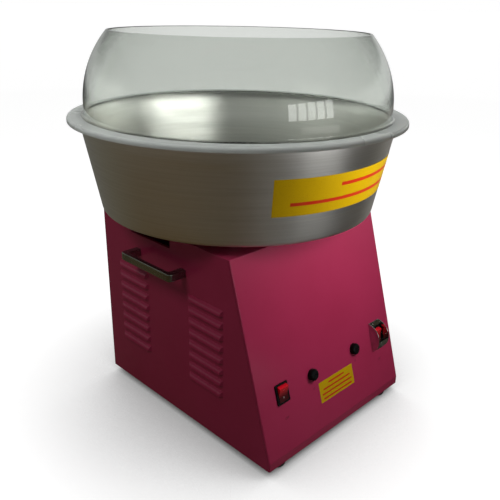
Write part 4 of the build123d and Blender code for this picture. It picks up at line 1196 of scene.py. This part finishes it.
@dataclass
class Dome:
    """Clear acrylic cover with an open top."""

    flange_radius: float = 260.0 * MM  # outer radius of the flange
    lip: float = 7.0 * MM  # depth of the turned-down lip
    wall: float = 2.5 * MM  # thickness
    radius: float = 235.0 * MM  # of the upright part
    straight: float = 14.0 * MM  # height of the upright part over the flange
    arc_radius: float = 158.0 * MM  # of the shoulder's curve
    bend: float = 4.0 * MM  # radius of the bends at the flange
    split: float = 0.02 * MM  # gap between the cover and its flange
    segments: int = 288

    def build(self) -> None:
        """Build the cover in place of its CAD solid, with its much handled flange by itself."""
        low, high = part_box("dome")
        self.foot = low.z
        self.top = low.z + self.lip
        self.mouth = high.z
        cover = lathe(self.cover(), self.segments)
        shell = build_piece("dome_shell", cover, DOME_ACRYLIC, "dome")
        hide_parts("dome")
        flange = lathe(self.flange(), self.segments)
        build_piece("dome_flange", flange, HANDLED_ACRYLIC, "dome")

    def cover(self) -> Outline:
        """Draw the closed section of the clear cover, up the outside and down the inside.

        Returns:
            Points as radius and height.
        """
        foot = self.top + self.straight
        middle = (self.radius - self.arc_radius, foot)
        inside = self.arc_radius - self.wall
        rise = self.mouth - foot
        end, inner_end = (math.degrees(math.asin(rise / r)) for r in (self.arc_radius, inside))
        turn = (self.radius + self.bend, self.top + self.bend)
        outer = arc(turn, self.bend, 270, 180, 8) + arc(middle, self.arc_radius, 0, end, 40)
        inner = arc(middle, inside, inner_end, 0, 40)
        return outer + inner + arc(turn, self.bend + self.wall, 180, 270, 8)

    def flange(self) -> Outline:
        """Draw the closed section of the flange with its turned-down lip.

        Returns:
            Points as radius and height.
        """
        start = self.radius + self.bend + self.split
        bend, wall, edge = self.bend, self.wall, self.flange_radius
        middle = (edge - bend, self.top - bend)
        outer = [(edge, self.foot)] + arc(middle, bend, 0, 90, 8) + [(start, self.top)]
        inner = [(start, self.top - wall)] + arc(middle, bend - wall, 90, 0, 6)
        return outer + inner + [(edge - wall, self.foot)]


class Drive:
    """Motor, slip rings, brushes and the head they turn."""

    def build(self) -> None:
        """Dress every node of the drive."""
        dress(ZINC_SHEET, "motor_plate")
        dress(BLACK_RUBBER, "vibration_mounts")
        dress(BOLT_STEEL, "mount_bolts", "motor_bolts", "motor_bearings", "motor_shaft")
        dress(BOLT_STEEL, "brush_springs", "head_screws", "head_nut")
        dress(CAST_ALUMINIUM, "motor_upper_bell", "motor_lower_bell")
        dress(LAMINATED_IRON, "motor_can", "motor_rotor")
        dress(BLACK_NYLON, "motor_fan")
        dress(WHITE_NYLON, "slip_ring_hub")
        dress(TURNED_BRASS, "slip_rings", "feed_rods", "ribbon_leads")
        dress(BRUSH_CARBON, "carbon_brushes")
        dress(BROWN_PHENOLIC, "brush_holder")
        dress(WHITE_CERAMIC, "feed_bushes", "element_posts")
        dress(HOT_STEEL, "heating_ribbon")
        dress(TURNED_HEAD, "head_base", "slotted_band", "head_lid")


# ------------------------------------------------------------------ studio


@dataclass(frozen=True)
class Lamp:
    """One soft square lamp, which neither the camera nor any gloss shows."""

    name: str
    place: Point  # where it hangs
    aim: Point  # what it points at
    size: float  # side of the square
    power: float  # in watts
    skips: tuple[str, ...] = ()  # pieces that it leaves unlit

    def hang(self) -> None:
        """Put the lamp in the scene."""
        data = bpy.data.lights.new(self.name, "AREA")
        data.shape, data.size, data.energy = "SQUARE", self.size, self.power
        lamp = link(self.name, data)
        lamp.location = self.place
        lamp.rotation_mode = "QUATERNION"
        look = Vector(self.aim) - Vector(self.place)
        lamp.rotation_quaternion = look.to_track_quat("-Z", "Y")
        lamp.visible_camera = lamp.visible_glossy = lamp.visible_transmission = False
        if self.skips:
            unlit = bpy.data.collections.new(self.name + "_skips")
            for name in self.skips:
                unlit.objects.link(bpy.data.objects[name])
            for entry in unlit.collection_objects:
                entry.light_linking.link_state = "EXCLUDE"
            lamp.light_linking.receiver_collection = unlit


LAMPS = (
    Lamp(
        "key_lamp", (0.09, -0.45, 0.44), (0.0, -0.17, 0.26), 0.2, 1.22,
        skips=("dome_shell", "dome_flange"),
    ),
    Lamp("top_lamp", (0.15, 0.1, 1.9), (0.0, 0.0, 0.4), 1.2, 12.0),
    Lamp("side_lamp", (-0.95, 0.1, 1.2), (-0.16, 0.0, 0.2), 0.4, 3.0),
    Lamp("rim_lamp", (0.9, 1.4, 1.1), (0.0, 0.0, 0.35), 0.8, 4.5),
)


def stops(*rows: tuple[float, int, int, int]) -> Stops:
    """Colours of a ramp, from rows of a share and a display colour."""
    return tuple((share, tone(*colour)) for share, *colour in rows)


def even(red: int, green: int, blue: int) -> Stops:
    """Ramp of one display colour."""
    return stops((0.0, red, green, blue), (1.0, red, green, blue))


UNDER_COVER = 2.5  # a reflected ray that met more clear faces than this saw metal under the cover


@dataclass(frozen=True)
class Card:
    """Ring of the reflected room, or part of one, that glows in reflections alone."""

    name: str
    edges: tuple[Span, Span]  # radius and height of either edge
    stops: Stops  # colours by share of a turn from the left
    level: float = 1.0  # brightness
    boost: float = 0.0  # what metal under the clear cover sees more, or alone at a level of 0
    climb: tuple[Span, ...] = ()  # brightness by share of its height, if it changes
    span: Span = (-180.0, 180.0)  # where it starts and ends, in degrees
    parts: int = 96  # flat parts it has
    gap: float = 0.0  # share of each part that is left open

    def build(self) -> None:
        """Build the card, which shows only in reflections, also through clear plastic."""
        start, width = self.span[0], (self.span[1] - self.span[0]) / self.parts
        sides = [part + side for part in range(self.parts) for side in (0.0, 1.0 - self.gap)]
        points = [polar(r, start + width * side, z) for side in sides for r, z in self.edges]
        faces = [(4 * k, 4 * k + 1, 4 * k + 3, 4 * k + 2) for k in range(self.parts)]
        card = link_mesh(self.name, (points, faces), self.glow())
        card.visible_camera = card.visible_diffuse = card.visible_shadow = False

    def glow(self) -> bpy.types.Material:
        """Make the card's material.

        Returns:
            The material.
        """
        made, board = blank_material(self.name)
        made.cycles.emission_sampling = "NONE"
        place = board.place()
        around = board.add("ShaderNodeTexGradient", {0: place}, gradient_type="RADIAL").outputs[1]
        rays = board.add("ShaderNodeLightPath").outputs
        covered = board.maths("GREATER_THAN", rays["Transmission Depth"], UNDER_COVER)
        strength = board.maths("MULTIPLY_ADD", covered, self.boost, self.level)
        if self.climb:
            share = board.maths("DIVIDE", board.parts(place)[2], self.edges[1][1])
            greys = tuple((part, (bright, bright, bright, 1.0)) for part, bright in self.climb)
            strength = board.product(self.ramp(board, share, greys), strength)
        colour = self.ramp(board, around, self.stops)
        light = board.add("ShaderNodeEmission", {0: colour, 1: strength}).outputs[0]
        clear = board.add("ShaderNodeBsdfTransparent").outputs[0]
        mirrored = board.maths("GREATER_THAN", rays["Glossy Depth"], 0.5)
        if not self.level:
            mirrored = board.product(mirrored, covered)
        shown = board.add("ShaderNodeMixShader", {0: mirrored, 1: clear, 2: light}).outputs[0]
        board.add("ShaderNodeOutputMaterial", {0: shown})
        return made

    @staticmethod
    def ramp(board: Board, share: Value, colours: Stops) -> Socket:
        """Add a colour ramp.

        Args:
            board: The material's board.
            share: Where on the ramp each point lies.
            colours: Its colours.

        Returns:
            The colour's socket.
        """
        node = board.add("ShaderNodeValToRGB", {0: share})
        elements = node.color_ramp.elements
        while len(elements) < len(colours):
            elements.new(0.5)
        for element, (position, colour) in zip(elements, colours):
            element.position, element.color = position, colour
        return node.outputs[0]


LOW, HIGH = 0.003, 2.6  # heights of the reflected room's floor and ceiling
REACH = 4.0  # radius of its wall
PANE, OPENING = 0.97 * REACH, 0.94 * REACH  # radius of its window and its doorway

ROOM = (
    Card(
        "reflected_floor",
        ((0.0, LOW), (REACH, LOW)),
        stops(
            (0.0, 82, 66, 38), (0.13, 73, 62, 43), (0.19, 96, 92, 84), (0.236, 80, 78, 74),
            (0.27, 96, 96, 92), (0.33, 60, 58, 54), (0.37, 60, 56, 50), (0.43, 76, 72, 64),
            (0.51, 150, 147, 142), (0.6, 112, 113, 110), (0.69, 106, 107, 103),
            (0.77, 98, 96, 88), (0.85, 90, 84, 67), (0.92, 80, 64, 36),
        ),
    ),
    Card(
        "reflected_wall",
        ((REACH, LOW), (REACH, HIGH)),
        stops(
            (0.0, 200, 202, 200), (0.04, 192, 194, 192), (0.13, 168, 169, 167),
            (0.2, 150, 151, 150), (0.34, 190, 191, 190), (0.42, 222, 224, 222),
            (0.5, 222, 224, 222), (0.64, 140, 141, 140), (0.8, 188, 190, 188),
            (0.93, 204, 206, 204),
        ),
        level=1.2,
        boost=4.5,
        climb=((0.0, 0.2), (0.08, 0.25), (0.2, 1.0), (0.4, 1.0), (0.56, 0.3), (1.0, 0.14)),
    ),
    Card("reflected_ceiling", ((REACH, HIGH), (0.0, HIGH)), even(120, 122, 120)),
    Card(
        "reflected_window", ((PANE, 0.35), (PANE, 1.35)), even(255, 255, 255), 3.9,
        span=(-101.0, -66.0), parts=5, gap=0.22,
    ),
    Card(
        "reflected_doorway", ((OPENING, 0.4), (OPENING, 1.7)), even(255, 255, 255), 0.0, 11.5,
        span=(-110.0, -54.0),
    ),
    Card(
        "reflected_pool", ((0.95, 2 * LOW), (3.5, 2 * LOW)), even(255, 255, 255), 0.9,
        span=(-92.0, -62.0),
    ),
)


@dataclass
class Studio:
    """Pale floor, soft light and the camera."""

    camera_place: Point = (-0.6712, -0.6941, 0.62904)
    camera_turns: Point = (-45.335, 67.957, 1.177)  # about Z, X and Z again, in degrees
    lens: float = 43.91  # focal length, in millimetres
    sensor: float = 36.0  # width of the sensor, in millimetres
    sight: Span = (0.05, 400.0)  # nearest and farthest that the camera sees
    ambient: float = 0.1  # level of the all-round light
    floor_reach: float = 90.0  # half the side of the floor
    floor_lift: float = 0.95  # brightness that the floor adds where it is seen
    shadow_reach: float = 0.3  # distance from the machine over which the floor's painted shadow reaches
    shadow_depth: float = 1.5  # how steeply the painted shadow darkens

    def build(self) -> None:
        """Set up the floor, the light and the camera."""
        self.floor()
        self.world()
        for item in ROOM:
            item.build()
        for lamp in LAMPS:
            lamp.hang()
        self.camera()
        bpy.context.scene.view_settings.view_transform = "Standard"

    @staticmethod
    def white_backdrop(board: Board) -> Socket:
        """Mask the rays that see the white background.

        Args:
            board: Board of a material or the world.

        Returns:
            1 for camera, glossy and transmission rays, else 0.
        """
        rays = board.add("ShaderNodeLightPath").outputs
        seen = board.maths("MAXIMUM", rays["Is Camera Ray"], rays["Is Glossy Ray"])
        return board.maths("MAXIMUM", seen, rays["Is Transmission Ray"])

    def floor(self) -> None:
        """Lay the pale floor, which keeps the machine's soft shadow from the lamps, and whose glow
        dims near the machine in a painted shadow.
        """
        material, board = blank_material("floor_white")
        near = {"Distance": self.shadow_reach}
        # painted shadow: occlusion near the machine holds back the glow that whitens the floor
        clear = board.add("ShaderNodeAmbientOcclusion", near, samples=8).outputs["AO"]
        lift = board.product(board.maths("POWER", clear, self.shadow_depth), self.floor_lift)
        inputs = {
            "Base Color": (0.3, 0.3, 0.3, 1.0),
            "Roughness": 0.9,
            "Specular IOR Level": 0.05,
            "Emission Color": (1.0, 1.0, 1.0, 1.0),
            "Emission Strength": board.product(lift, self.white_backdrop(board)),
        }
        shader = board.add("ShaderNodeBsdfPrincipled", inputs)
        board.add("ShaderNodeOutputMaterial", {0: shader.outputs[0]})
        far = self.floor_reach
        corners = [(-far, -far, 0.0), (far, -far, 0.0), (far, far, 0.0), (-far, far, 0.0)]
        floor = link_mesh("floor", (corners, [(0, 1, 2, 3)]), material)

    def world(self) -> None:
        """Make the all-round light, white where it is seen."""
        world = bpy.data.worlds.new("soft_room")
        world.use_nodes = True
        bpy.context.scene.world = world
        board = Board(world.node_tree)
        background = world.node_tree.nodes["Background"]
        background.inputs["Color"].default_value = (1.0, 1.0, 1.0, 1.0)
        level = board.spread(self.white_backdrop(board), 0.0, 1.0, self.ambient)
        board.put(level, background.inputs["Strength"])

    def camera(self) -> None:
        """Stand the camera at the viewing angle."""
        data = bpy.data.cameras.new("camera")
        data.sensor_width, data.lens = self.sensor, self.lens
        data.clip_start, data.clip_end = self.sight
        camera = link("camera", data)
        stand = Matrix.Translation(self.camera_place)
        for turn, axis in zip(self.camera_turns, "ZXZ"):
            stand @= Matrix.Rotation(math.radians(turn), 4, axis)
        camera.matrix_world = stand
        bpy.context.scene.camera = camera


def main() -> None:
    """Build and dress every sub-assembly, then the studio."""
    logging.basicConfig(level=logging.INFO, format="%(name)s: %(message)s")
    Cabinet().build()
    Controls(FrontFace()).build()
    Bowl().build()
    Dome().build()
    Drive().build()
    Studio().build()


if __name__ == "__main__":
    main()
